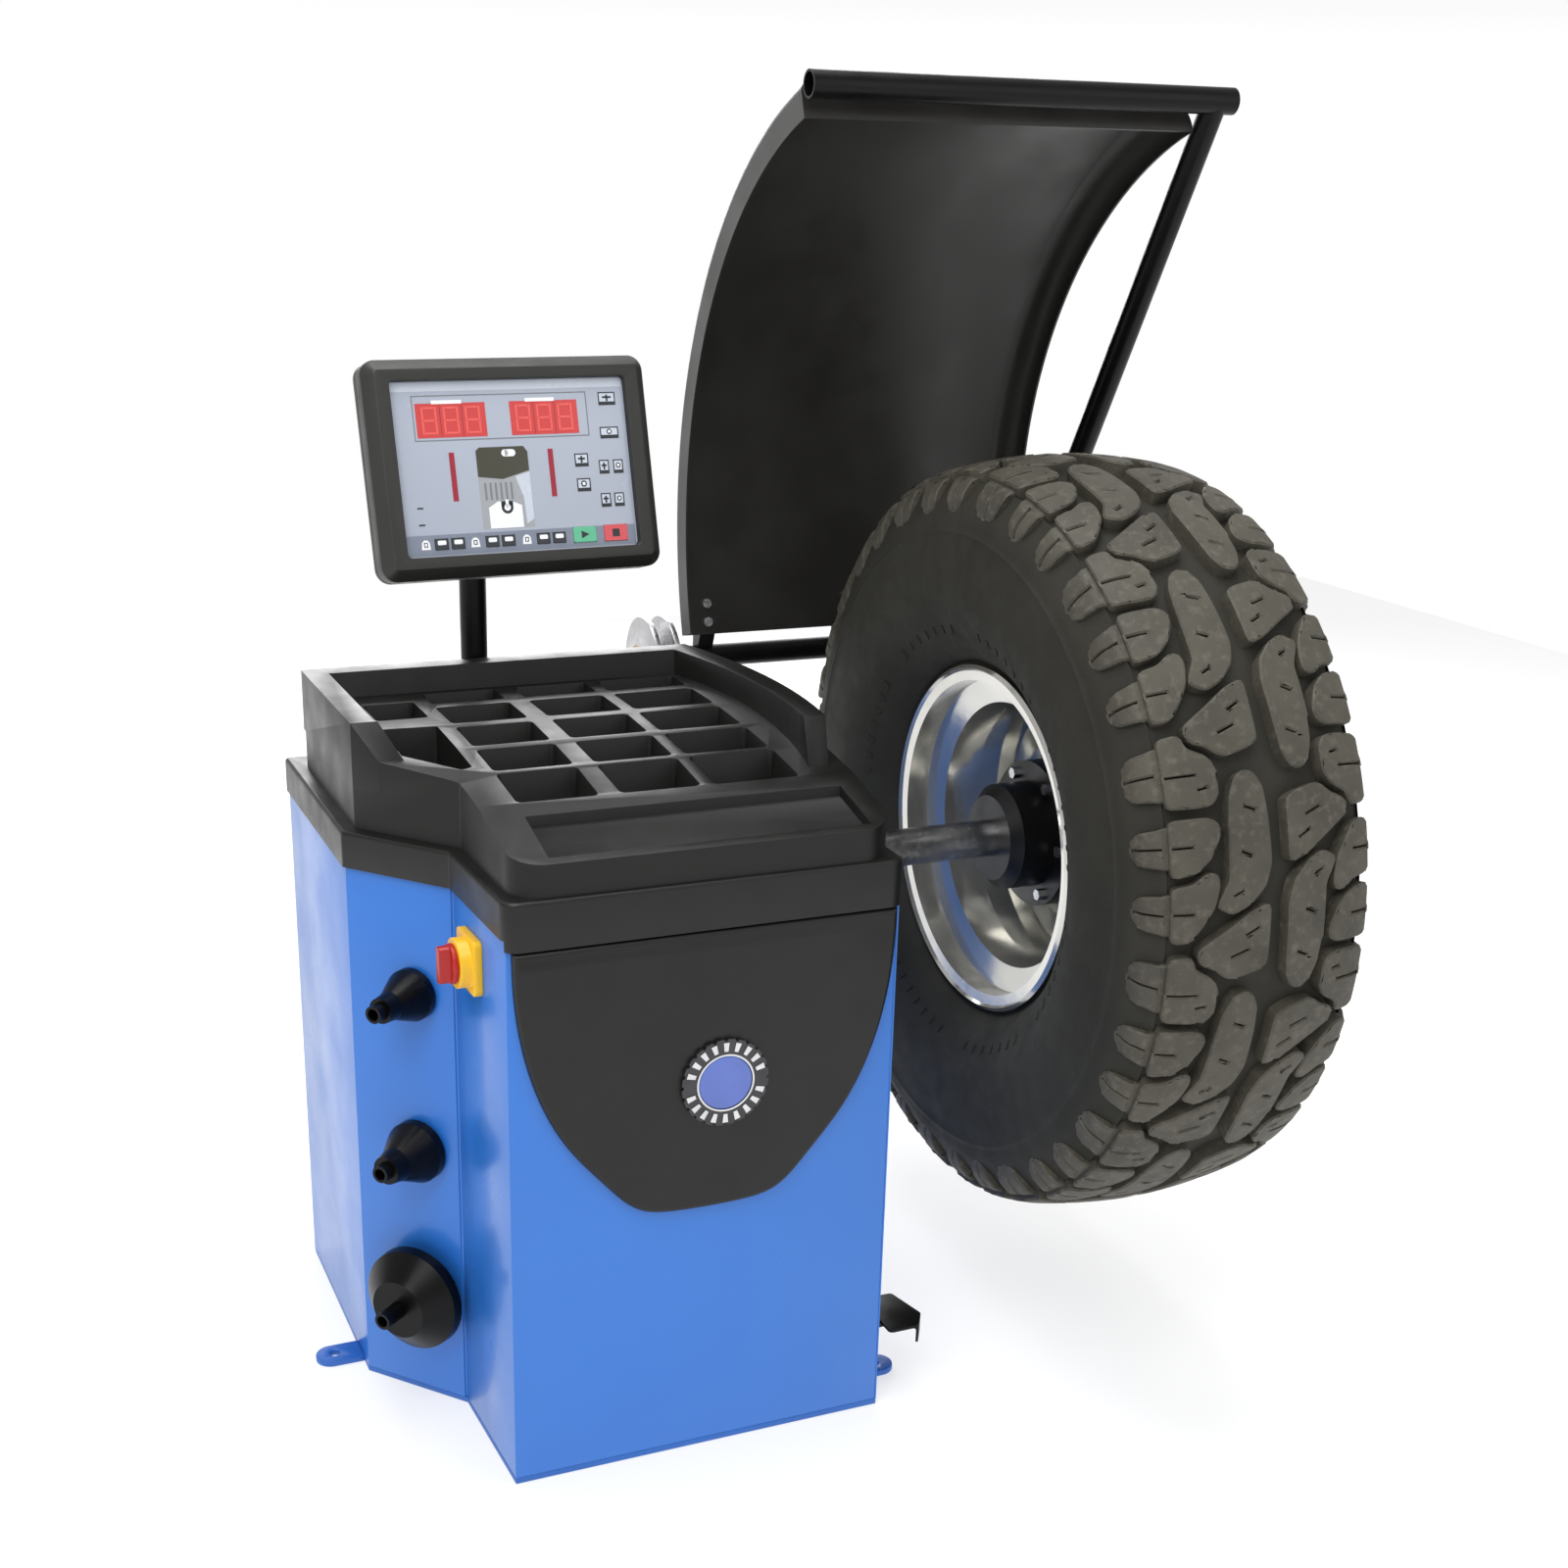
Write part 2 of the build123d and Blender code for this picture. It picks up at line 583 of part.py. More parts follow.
NUT_X = 648
with BuildPart() as centring_cone:
    with BuildSketch(Plane(origin=(0, 0, SPINDLE_Z), x_dir=(1, 0, 0), z_dir=(0, -1, 0))):
        with BuildLine():
            Polyline((PAD_X + 1, NOSE_R), (PAD_X + 1, 50), (NUT_X, 70), (NUT_X, NOSE_R), close=True)
        make_face()
    revolve(axis=Axis((0, 0, SPINDLE_Z), (1, 0, 0)))
save(centring_cone, "centring_cone")

NUT_LEN = 44
with BuildPart() as quick_nut:
    add(ring(NUT_X + GAP, NUT_X + 8, 58, NOSE_R + RUN_FIT))
    add(ring(NUT_X + 8, NUT_X + NUT_LEN, 36, NOSE_R + RUN_FIT))
    for side in (-1, 1):
        with BuildSketch(axial(NUT_X + 12)):
            with Locations((side * 62, 0)):
                RectangleRounded(70, 26, 12)
            Circle(30, mode=Mode.SUBTRACT)
        extrude(amount=20)
save(quick_nut, "quick_nut")

# ---- wheel -------------------------------------------------------------------------------------
RIM_X0 = WHEEL_X - HALF_RIM
RIM_X1 = WHEEL_X + HALF_RIM


def turned(label, outline):
    """Revolve a closed outline given in (x, radius) about the spindle axis and save it."""
    with BuildPart() as piece:
        with BuildSketch(Plane(origin=(0, 0, SPINDLE_Z), x_dir=(1, 0, 0), z_dir=(0, -1, 0))):
            with BuildLine():
                Polyline(*outline, close=True)
            make_face()
        revolve(axis=Axis((0, 0, SPINDLE_Z), (1, 0, 0)))
    save(piece, label)


DISC_X = RIM_X1 - 66       # where the disc joins the barrel


def rim_profile():
    """Barrel with rolled lips, seats and drop centre, and a dished disc with its centre bore."""
    t = RIM_T
    outer = [(RIM_X0 - 4, LIP_R - 5), (RIM_X0, LIP_R), (RIM_X0 + 5, LIP_R - 2), (RIM_X0 + 7, SEAT_R),
             (RIM_X0 + 36, SEAT_R), (RIM_X0 + 48, WELL_R), (RIM_X0 + 92, WELL_R),
             (RIM_X1 - 44, SEAT_R), (RIM_X1 - 7, SEAT_R), (RIM_X1 - 5, LIP_R - 2), (RIM_X1, LIP_R),
             (RIM_X1 + 4, LIP_R - 5)]
    inner = [(RIM_X1, LIP_R - 8), (RIM_X1 - 2, SEAT_R - t), (RIM_X1 - 44, SEAT_R - t),
             (DISC_X + 4, 202), (DISC_X - 22, 170), (DISC_X - 38, 120), (PAD_X + 16, 92),
             (PAD_X + 6, 84), (PAD_X + 6, BORE_R), (PAD_X, BORE_R), (PAD_X, 86), (PAD_X + 10, 96),
             (DISC_X - 44, 122), (DISC_X - 29, 172), (DISC_X - 12, WELL_R + 4),
             (RIM_X0 + 94, WELL_R - t), (RIM_X0 + 46, WELL_R - t), (RIM_X0 + 34, SEAT_R - t),
             (RIM_X0 + 2, SEAT_R - t), (RIM_X0, LIP_R - 8)]
    return outer + inner


turned("wheel_rim", rim_profile())


def tyre_profile():
    """Carcass and tread band: crown, shoulders, bulging sidewalls, beads on the rim's seats."""
    half = [(HALF_RIM - 8, SEAT_R + GAP), (HALF_RIM - 8, 240), (HALF_RIM + 14, 256), (HALF_TYRE - 6, 310),
            (HALF_TYRE, 360), (HALF_TYRE - 4, 420), (HALF_TYRE - 14, 470), (HALF_TYRE - 26, 489),
            (80, 502), (0, TYRE_R)]
    inside = [(0, TYRE_R - 24), (80, 478), (HALF_TYRE - 40, 458), (HALF_TYRE - 16, 410),
              (HALF_TYRE - 12, 360), (HALF_TYRE - 18, 318), (HALF_RIM - 2, 262), (HALF_RIM - 24, 240),
              (HALF_RIM - 26, SEAT_R + GAP)]
    left = [(WHEEL_X - x, r) for x, r in half]
    right = [(WHEEL_X + x, r) for x, r in reversed(half[:-1])]
    in_right = [(WHEEL_X + x, r) for x, r in reversed(inside)]
    in_left = [(WHEEL_X - x, r) for x, r in inside[1:]]
    return left + right + in_right + in_left


turned("tyre", tyre_profile())

# ---- drive -------------------------------------------------------------------------------------
MOTOR_Y = 130
MOTOR_Z = 330
MOTOR_R = 65
MOTOR_PULLEY_R = 30
BELT_T = 4


def motor_plane(x):
    """Plane across the motor's axis at x."""
    return Plane(origin=(x, MOTOR_Y, MOTOR_Z), x_dir=(0, 1, 0), z_dir=(1, 0, 0))


with BuildPart() as drive_motor:
    with BuildSketch(motor_plane(-160)):
        Circle(MOTOR_R)
        with PolarLocations(MOTOR_R + 2, 24):
            Rectangle(8, 3)
    extrude(amount=180)
    with BuildSketch(motor_plane(20)):
        Circle(12 + RUN_FIT)
    extrude(amount=-60, mode=Mode.SUBTRACT)
    with BuildSketch(Plane.XY.offset(MOTOR_Z + MOTOR_R - 6)):
        with Locations((-70, MOTOR_Y)):
            Rectangle(80, 60)
    extrude(amount=40)
save(drive_motor, "drive_motor")

with BuildPart() as motor_bracket:
    with BuildSketch(Plane.XY.offset(BASE_T)):
        with Locations((-70, MOTOR_Y)):
            Rectangle(180, 150)
    extrude(amount=6)
    for x in (-130, -16):
        with BuildSketch(across(x)):
            with BuildLine():
                Polyline((MOTOR_Y - 70, BASE_T + 6), (MOTOR_Y + 70, BASE_T + 6),
                         (MOTOR_Y + 45, MOTOR_Z - 20), (MOTOR_Y - 45, MOTOR_Z - 20), close=True)
            make_face()
            with Locations((MOTOR_Y, MOTOR_Z)):
                Circle(MOTOR_R + 7, mode=Mode.SUBTRACT)
        extrude(amount=6)
save(motor_bracket, "motor_bracket")

with BuildPart() as motor_pulley:
    with BuildSketch(motor_plane(-36)):
        Circle(12)
    extrude(amount=114)
    with BuildSketch(motor_plane(BELT_X0)):
        Circle(MOTOR_PULLEY_R)
    extrude(amount=PULLEY_X1 - BELT_X0)
save(motor_pulley, "motor_pulley")

with BuildPart() as drive_belt:
    for grow, mode in ((BELT_T, Mode.ADD), (GAP, Mode.SUBTRACT)):
        with BuildSketch(axial(BELT_X0 + 2)):
            Circle(PULLEY_R + grow)
            with Locations((MOTOR_Y, MOTOR_Z - SPINDLE_Z)):
                Circle(MOTOR_PULLEY_R + grow)
            make_hull()
        extrude(amount=PULLEY_X1 - BELT_X0 - 4, mode=mode)
save(drive_belt, "drive_belt")

with BuildPart() as power_board:
    with BuildSketch(Plane.XZ.offset(-BACK_IN)):
        with Locations((-200, 480)):
            Rectangle(180, 240)
    extrude(amount=3)
    with BuildSketch(Plane.XZ.offset(-BACK_IN + 3)):
        with Locations((-240, 540)):
            Rectangle(60, 50)
        with Locations((-160, 530)):
            Rectangle(50, 90)
        with Locations((-210, 420)):
            Rectangle(120, 60)
    extrude(amount=42)
save(power_board, "power_board")

# ---- brake -------------------------------------------------------------------------------------
PIVOT_X = 80
PIVOT_Z = PEDAL_Z
CRANK = 40                 # from the pedal's pivot to the push rod
PIVOT_R = 9
SHOE_TRAVEL = 3.4
SHOE_GAP = SHOE_TRAVEL + GAP
ROD_GAP = 1.2              # between the crank and the push rod

with BuildPart() as brake_pedal:
    with BuildSketch(Plane(origin=(PIVOT_X, -236, PIVOT_Z), x_dir=(1, 0, 0), z_dir=(0, 1, 0))):
        Circle(PIVOT_R)
    extrude(amount=250)
    with BuildSketch(Plane.XY.offset(PIVOT_Z - 5)):
        with Locations(((PIVOT_X + 300) / 2, PEDAL_Y)):
            Rectangle(300 - PIVOT_X, 26)
        with Locations((PIVOT_X - CRANK / 2, 0)):
            Rectangle(CRANK + 16, 22)
    extrude(amount=10)
    with BuildSketch(Plane.XY.offset(PIVOT_Z + 5)):
        with BuildLine():
            FilletPolyline((262, -176), (306, -176), (320, -236), (304, -262), (262, -262), radius=6,
                           close=True)
        make_face()
    extrude(amount=4)
    with BuildSketch(Plane.XY.offset(PIVOT_Z - 16)):
        with BuildLine():
            Polyline((308, -176), (320, -236), (304, -262), (300, -262), (315, -236), (303, -176),
                     close=True)
        make_face()
    extrude(amount=22)
save(brake_pedal, "brake_pedal")

with BuildPart() as pedal_bearings:
    for y in (-170, -40):
        with BuildSketch(Plane.XZ.offset(-y)):
            with Locations((PIVOT_X, (PIVOT_Z + 20 + BASE_T) / 2)):
                Rectangle(36, PIVOT_Z + 20 - BASE_T)
            with Locations((PIVOT_X, PIVOT_Z)):
                Circle(PIVOT_R + RUN_FIT, mode=Mode.SUBTRACT)
        extrude(amount=14)
save(pedal_bearings, "pedal_bearings")

ROD_X = PIVOT_X - CRANK
SHOE_T = 24                # flat pad that presses the pulley's rim from below
SHOE_Z = SPINDLE_Z - PULLEY_R - SHOE_GAP
with BuildPart() as brake_shoe:
    with BuildSketch(Plane.XY.offset(PIVOT_Z + 5 + ROD_GAP)):
        with Locations((ROD_X, 0)):
            Circle(7)
    extrude(amount=SHOE_Z - 20 - PIVOT_Z - 5 - ROD_GAP)
    with BuildSketch(across(ROD_X - 8)):
        with Locations((0, SHOE_Z - SHOE_T / 2)):
            Rectangle(60, SHOE_T)
    extrude(amount=18)
save(brake_shoe, "brake_shoe")

# ---- hood --------------------------------------------------------------------------------------
EAR_X = (196, 226)
EAR_T = 8
BUSH_R = 23
CAM_X = 208
with BuildPart() as hood_bracket:
    with BuildSketch(Plane.XZ.offset(-BACK_Y)):
        with Locations((190, 640)):
            RectangleRounded(96, 110, 6)
    extrude(amount=-8)
    for x in EAR_X:
        with BuildSketch(across(x)):
            with BuildLine():
                Polyline((BACK_Y + 8, 586), (BACK_Y + 8, 694), (BACK_Y + 14, 694), (440, 852))
                ThreePointArc((440, 852), (HINGE_Y - 20, 886), (HINGE_Y + 44, 840))
                ThreePointArc((HINGE_Y + 44, 840), (HINGE_Y + 48, 800), (HINGE_Y + 30, 772))
                Line((HINGE_Y + 30, 772), (BACK_Y + 8, 586))
            make_face()
            with Locations((HINGE_Y, HINGE_Z)):
                Circle(BUSH_R, mode=Mode.SUBTRACT)
        extrude(amount=EAR_T)
save(hood_bracket, "hood_bracket")


def hinge_plane(x):
    """Plane across the hood's hinge axis at x."""
    return Plane(origin=(x, HINGE_Y, HINGE_Z), x_dir=(0, 1, 0), z_dir=(1, 0, 0))


with BuildPart() as hood_bushes:
    for x in EAR_X:
        with BuildSketch(hinge_plane(x)):
            Circle(BUSH_R)
            Circle(TUBE_R + RUN_FIT, mode=Mode.SUBTRACT)
        extrude(amount=EAR_T)
save(hood_bushes, "hood_bushes")

with BuildPart() as hood_cam:
    with BuildSketch(hinge_plane(CAM_X)):
        Circle(26)
        with Locations((0, -22)):
            Rectangle(16, 20)
        Circle(TUBE_R, mode=Mode.SUBTRACT)
    extrude(amount=10)
save(hood_cam, "hood_cam")

with BuildPart() as hood_switch:
    with BuildSketch(across(CAM_X - 2)):
        with Locations((HINGE_Y - 66, HINGE_Z - 60)):
            Rectangle(50, 28)
    extrude(amount=18.5)
save(hood_switch, "hood_switch")

ARM_BEND = 62
BAR_END = 862              # the bar along the hood's top edge runs on past the arm
TAB_X = (290, 520, 735)
BOTTOM = radians(HOOD_FROM)
TOP = radians(HOOD_TO)
bottom_y = HOOD_CY + HOOD_R * cos(BOTTOM)
bottom_z = HOOD_CZ + HOOD_R * sin(BOTTOM)
arm_path = [(182, HINGE_Y, HINGE_Z), (ARM_X, HINGE_Y, HINGE_Z), (ARM_X, TOP_Y, TOP_Z)]
with BuildPart() as hood_frame:
    with BuildLine() as frame_line:
        FilletPolyline(*arm_path, radius=[ARM_BEND])
    with BuildSketch(Plane(origin=arm_path[0], z_dir=(1, 0, 0))):
        Circle(TUBE_R)
        Circle(TUBE_BORE_R, mode=Mode.SUBTRACT)
    sweep()
    with BuildSketch(across(HOOD_X0 - 2)):
        with Locations((TOP_Y, TOP_Z)):
            Circle(TUBE_R)
    extrude(amount=BAR_END - HOOD_X0 + 2)
    with BuildSketch(across(HOOD_X0 - 2)):
        with Locations((TOP_Y, TOP_Z)):
            Circle(TUBE_BORE_R)
    extrude(amount=BAR_END - HOOD_X0 + 2, mode=Mode.SUBTRACT)
    # welded tabs that carry the shell: from the hinge tube to the shell's back
    for x in TAB_X:
        with BuildSketch(across(x)):
            with BuildLine():
                Polyline((HINGE_Y - 8, HINGE_Z + 12), (HINGE_Y + 12, HINGE_Z + 12),
                         (bottom_y + 26, bottom_z + 62), (bottom_y + 12.5, bottom_z + 62),
                         (bottom_y + 1, bottom_z + 2), close=True)
            make_face()
            with Locations((HINGE_Y, HINGE_Z)):
                Circle(TUBE_R - 1, mode=Mode.SUBTRACT)
            with Locations((HOOD_CY, HOOD_CZ)):
                Circle(HOOD_R + 0.05, mode=Mode.SUBTRACT)
        extrude(amount=24)
save(hood_frame, "hood_frame")

FLANGE_DEEP = 45
CORNER_R = 40


def hood_block(inset, deep):
    """Sector of the hood between its two end angles, in from the outside by inset."""
    swing = degrees(inset / HOOD_R)
    start = HOOD_FROM - (10 if inset else 0)
    stop = HOOD_TO - swing
    outer = HOOD_R - inset
    inner = HOOD_R - deep
    with BuildPart() as block:
        with BuildSketch(across(HOOD_X0 + inset)):
            with BuildLine():
                CenterArc((HOOD_CY, HOOD_CZ), outer, start, stop - start)
                CenterArc((HOOD_CY, HOOD_CZ), inner, start, stop - start)
                for end in (start, stop):
                    c, s = cos(radians(end)), sin(radians(end))
                    Line((HOOD_CY + inner * c, HOOD_CZ + inner * s),
                         (HOOD_CY + outer * c, HOOD_CZ + outer * s))
            make_face()
        extrude(amount=HOOD_X1 - HOOD_X0 - 2 * inset)
        edge = block.edges().filter_by(GeomType.CIRCLE).sort_by(SortBy.RADIUS)[-2:].sort_by(Axis.X)
        fillet(edge[-1], CORNER_R - inset)
        fillet(block.edges().filter_by(GeomType.CIRCLE).filter_by(
            lambda e: abs(e.radius - outer) < 0.01).sort_by(Axis.X)[0], 12 - inset)
    return block.part


with BuildPart() as hood_shell:
    add(hood_block(0, FLANGE_DEEP))
    add(hood_block(HOOD_T, FLANGE_DEEP + 20), mode=Mode.SUBTRACT)
save(hood_shell, "hood_shell")

with BuildPart() as hood_bolts:
    for x in TAB_X:
        for rise in (18, 46):
            lean = BOTTOM + rise / HOOD_R
            foot = HOOD_R - HOOD_T - 0.1
            spot = (x + 12, HOOD_CY + foot * cos(lean), HOOD_CZ + foot * sin(lean))
            with BuildSketch(Plane(origin=spot, z_dir=(0, -cos(lean), -sin(lean)))):
                Circle(7)
            extrude(amount=4)
save(hood_bolts, "hood_bolts")

# ---- display -----------------------------------------------------------------------------------
POLE_X = -95
POLE_Y = 371
POLE_R = 18
POLE_TOP = 1096
with BuildPart() as display_pole:
    with BuildSketch(Plane.XY.offset(BAND_TOP)):
        with Locations((POLE_X, POLE_Y)):
            Rectangle(60, 40)
    extrude(amount=5)
    with BuildSketch(Plane.XY.offset(BAND_TOP + 5)):
        with Locations((POLE_X, POLE_Y)):
            Circle(POLE_R)
            Circle(POLE_R - 2.5, mode=Mode.SUBTRACT)
    extrude(amount=POLE_TOP - BAND_TOP - 5)
save(display_pole, "display_pole")

HEAD_AT = (-60, 262, 1148)
HEAD_YAW = 4
HEAD_TILT = 15
HEAD_W = 383
HEAD_H = 276
HEAD_DEEP = 62
SCREEN_W = 319
SCREEN_H = 220
facing = (sin(radians(HEAD_YAW)) * cos(radians(HEAD_TILT)),
          -cos(radians(HEAD_YAW)) * cos(radians(HEAD_TILT)), sin(radians(HEAD_TILT)))
head_right = (cos(radians(HEAD_YAW)), sin(radians(HEAD_YAW)), 0)


def head(out=0.0):
    """Plane of the display's front, or one parallel to it, moved along the way it faces."""
    origin = tuple(place + step * out for place, step in zip(HEAD_AT, facing))
    return Plane(origin=origin, x_dir=head_right, z_dir=facing)


PANEL_BACK = -12           # back face of the screen panel, behind the bezel's front
SPLIT = -36                # where the front bezel meets the back cover
with BuildPart() as display_case:
    with BuildSketch(head(SPLIT)):
        RectangleRounded(HEAD_W, HEAD_H, 20)
    extrude(amount=-SPLIT)
    chamfer(display_case.faces().sort_by(Axis((0, 0, 0), facing))[-1].edges(), 14)
    with BuildSketch(head(PANEL_BACK)):
        RectangleRounded(SCREEN_W, SCREEN_H, 6)
    extrude(amount=20, mode=Mode.SUBTRACT)
    with BuildSketch(head(SPLIT)):
        RectangleRounded(HEAD_W - 8, HEAD_H - 8, 16)
    extrude(amount=-SPLIT - 14, mode=Mode.SUBTRACT)
    with BuildSketch(head(-20)):
        Rectangle(SCREEN_W - 12, SCREEN_H - 12)
    extrude(amount=20, mode=Mode.SUBTRACT)
save(display_case, "display_case")

LUG_UP = -30               # the tilt knuckle, below the head's middle
KNUCKLE = 16               # the tilt axis stands this far behind the back cover
PIN_R = 6


def head_side(along):
    """Plane across the head: its own x is the way the head faces, its own y is up the head."""
    origin = tuple(place + step * along for place, step in zip(HEAD_AT, head_right))
    return Plane(origin=origin, x_dir=facing, z_dir=tuple(-step for step in head_right))


side_sign = 1 if head_side(0).y_dir.Z > 0 else -1
knuckle_at = (-HEAD_DEEP - KNUCKLE, side_sign * LUG_UP)
POLE_ALONG = POLE_X - HEAD_AT[0]
with BuildPart() as display_back:
    with BuildSketch(head(-HEAD_DEEP)):
        RectangleRounded(HEAD_W, HEAD_H, 20)
    extrude(amount=HEAD_DEEP + SPLIT)
    chamfer(display_back.faces().sort_by(Axis((0, 0, 0), facing))[0].edges(), 16)
    with BuildSketch(head(SPLIT)):
        RectangleRounded(HEAD_W - 40, HEAD_H - 40, 16)
    extrude(amount=-(HEAD_DEEP + SPLIT - 4), mode=Mode.SUBTRACT)
    with BuildSketch(head_side(POLE_ALONG + 7)):
        with Locations((-HEAD_DEEP - 8, side_sign * LUG_UP)):
            Rectangle(32, 26)
        with Locations(knuckle_at):
            Circle(15)
            Circle(PIN_R + RUN_FIT, mode=Mode.SUBTRACT)
    extrude(amount=14)
save(display_back, "display_back")

with BuildPart() as tilt_pin:
    with BuildSketch(head_side(POLE_ALONG + 22)):
        with Locations(knuckle_at):
            Circle(PIN_R)
    extrude(amount=44)
save(tilt_pin, "tilt_pin")

CAP_R = 24
with BuildPart() as display_yoke:
    with BuildSketch(Plane.XY.offset(POLE_TOP - 36)):
        with Locations((POLE_X, POLE_Y)):
            Circle(CAP_R)
    extrude(amount=44)
    with BuildSketch(head_side(POLE_ALONG + 17)):
        with Locations(knuckle_at):
            Circle(14)
        with Locations((knuckle_at[0] - 12, knuckle_at[1] + side_sign * -10)):
            Rectangle(24, 26)
    extrude(amount=9)
    with BuildSketch(head_side(POLE_ALONG - 8)):
        with Locations(knuckle_at):
            Circle(14)
        with Locations((knuckle_at[0] - 12, knuckle_at[1] + side_sign * -10)):
            Rectangle(24, 26)
    extrude(amount=9)
    with BuildSketch(Plane.XY.offset(POLE_TOP - 40)):
        with Locations((POLE_X, POLE_Y)):
            Circle(POLE_R + RUN_FIT)
    extrude(amount=40 + GAP, mode=Mode.SUBTRACT)
    with BuildSketch(head_side(POLE_ALONG + 30)):
        with Locations(knuckle_at):
            Circle(PIN_R)
    extrude(amount=60, mode=Mode.SUBTRACT)
save(display_yoke, "display_yoke")

PANEL_T = 2
KEY_ROW = -94
KEYS = [(x, KEY_ROW, 18, 14) for x in (-111, -89, -43, -21, 27, 49)]
START_KEY = (85, KEY_ROW + 2, 32, 20)
STOP_KEY = (129, KEY_ROW + 2, 33, 21)
KEY_FIT = 0.6
with BuildPart() as display_panel:
    with BuildSketch(head(PANEL_BACK)):
        RectangleRounded(SCREEN_W - 1, SCREEN_H - 1, 6)
        for x, y, w, h in [*KEYS, START_KEY, STOP_KEY]:
            with Locations((x, y)):
                Rectangle(w + KEY_FIT, h + KEY_FIT, mode=Mode.SUBTRACT)
    extrude(amount=PANEL_T)
save(display_panel, "display_panel")

names = [f"key_{number}" for number in range(1, len(KEYS) + 1)] + ["start_key", "stop_key"]
for label, (x, y, w, h) in zip(names, [*KEYS, START_KEY, STOP_KEY]):
    with BuildPart() as key:
        with BuildSketch(head(PANEL_BACK - 1)):
            with Locations((x, y)):
                RectangleRounded(w, h, 2)
        extrude(amount=PANEL_T + 2.2)
        fillet(key.faces().sort_by(Axis((0, 0, 0), facing))[-1].edges(), 0.6)
    save(key, label)

with BuildPart() as display_board:
    with BuildSketch(head(-32)):
        Rectangle(SCREEN_W - 40, SCREEN_H - 30)
    extrude(amount=2)
    with BuildSketch(head(-30)):
        with Locations((-70, 60), (60, 60)):
            Rectangle(90, 40)
        with Locations((0, -20)):
            Rectangle(70, 50)
    extrude(amount=8)
save(display_board, "display_board")
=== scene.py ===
"""Looks of the wheel balancer: materials, and finer meshes where the plain CAD shapes fall short."""

import json
import math

import bmesh
import bpy
from mathutils import Matrix, Vector

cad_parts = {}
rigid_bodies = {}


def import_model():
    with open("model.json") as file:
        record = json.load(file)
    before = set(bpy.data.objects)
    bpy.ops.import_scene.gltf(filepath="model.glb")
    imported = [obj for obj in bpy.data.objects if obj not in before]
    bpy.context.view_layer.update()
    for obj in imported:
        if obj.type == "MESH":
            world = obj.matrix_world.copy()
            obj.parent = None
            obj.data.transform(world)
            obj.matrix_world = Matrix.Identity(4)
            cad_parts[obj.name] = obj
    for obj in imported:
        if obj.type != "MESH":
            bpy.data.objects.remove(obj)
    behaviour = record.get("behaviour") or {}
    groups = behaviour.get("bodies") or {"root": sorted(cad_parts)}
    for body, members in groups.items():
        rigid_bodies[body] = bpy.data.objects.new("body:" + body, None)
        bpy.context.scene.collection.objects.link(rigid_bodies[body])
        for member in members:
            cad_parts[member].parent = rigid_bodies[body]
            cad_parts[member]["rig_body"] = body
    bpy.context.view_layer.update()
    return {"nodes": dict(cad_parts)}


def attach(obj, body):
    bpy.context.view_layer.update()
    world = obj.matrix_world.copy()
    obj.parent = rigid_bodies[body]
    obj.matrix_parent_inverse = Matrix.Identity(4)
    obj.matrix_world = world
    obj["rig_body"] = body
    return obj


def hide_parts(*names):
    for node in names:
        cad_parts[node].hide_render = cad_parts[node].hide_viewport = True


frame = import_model()
NODES = frame["nodes"]

# ---- camera and light --------------------------------------------------------------------------
CAMERA_AT = (-0.839869, -2.346531, 1.515808)
HEADING = math.radians(23.756)         # from +Y towards +X
PITCH = math.radians(19.535)           # downwards
ROLL = math.radians(1.448)
LENS = 47.72                           # on a 36 mm sensor
SHIFT = (0.00875, 0.0771)


def make_camera():
    """Camera at the viewing angle the machine was drawn from."""
    data = bpy.data.cameras.new("camera")
    data.lens = LENS
    data.sensor_width = 36
    data.shift_x, data.shift_y = SHIFT
    data.clip_end = 50
    camera = bpy.data.objects.new("camera", data)
    bpy.context.scene.collection.objects.link(camera)
    ahead = Vector((math.sin(HEADING) * math.cos(PITCH), math.cos(HEADING) * math.cos(PITCH),
                    -math.sin(PITCH)))
    level = Vector((math.cos(HEADING), -math.sin(HEADING), 0))
    up = level.cross(ahead)
    right = level * math.cos(ROLL) + up * math.sin(ROLL)
    top = up * math.cos(ROLL) - level * math.sin(ROLL)
    turn = Matrix((right, top, -ahead)).transposed().to_4x4()
    camera.matrix_world = Matrix.Translation(CAMERA_AT) @ turn
    bpy.context.scene.camera = camera


def area_light(name, at, aim, size, power, colour=(1, 1, 1)):
    """A square soft light at one point, aimed at another."""
    data = bpy.data.lights.new(name, "AREA")
    data.shape = "SQUARE"
    data.size = size
    data.energy = power
    data.color = colour
    lamp = bpy.data.objects.new(name, data)
    lamp.location = at
    lamp.rotation_euler = (Vector(aim) - Vector(at)).to_track_quat("-Z", "Y").to_euler()
    lamp.visible_camera = False
    bpy.context.scene.collection.objects.link(lamp)


FLOOR_REACH = 4.5                      # half the side of the square floor, metres
FLOOR_BASE = 0.45
FLOOR_GLOW = 0.6                       # keeps the floor white where the lamps don't reach
HORIZON, SKY = 0.06, 0.2               # direction heights between which the surroundings darken
SKY_STRENGTH = 0.52


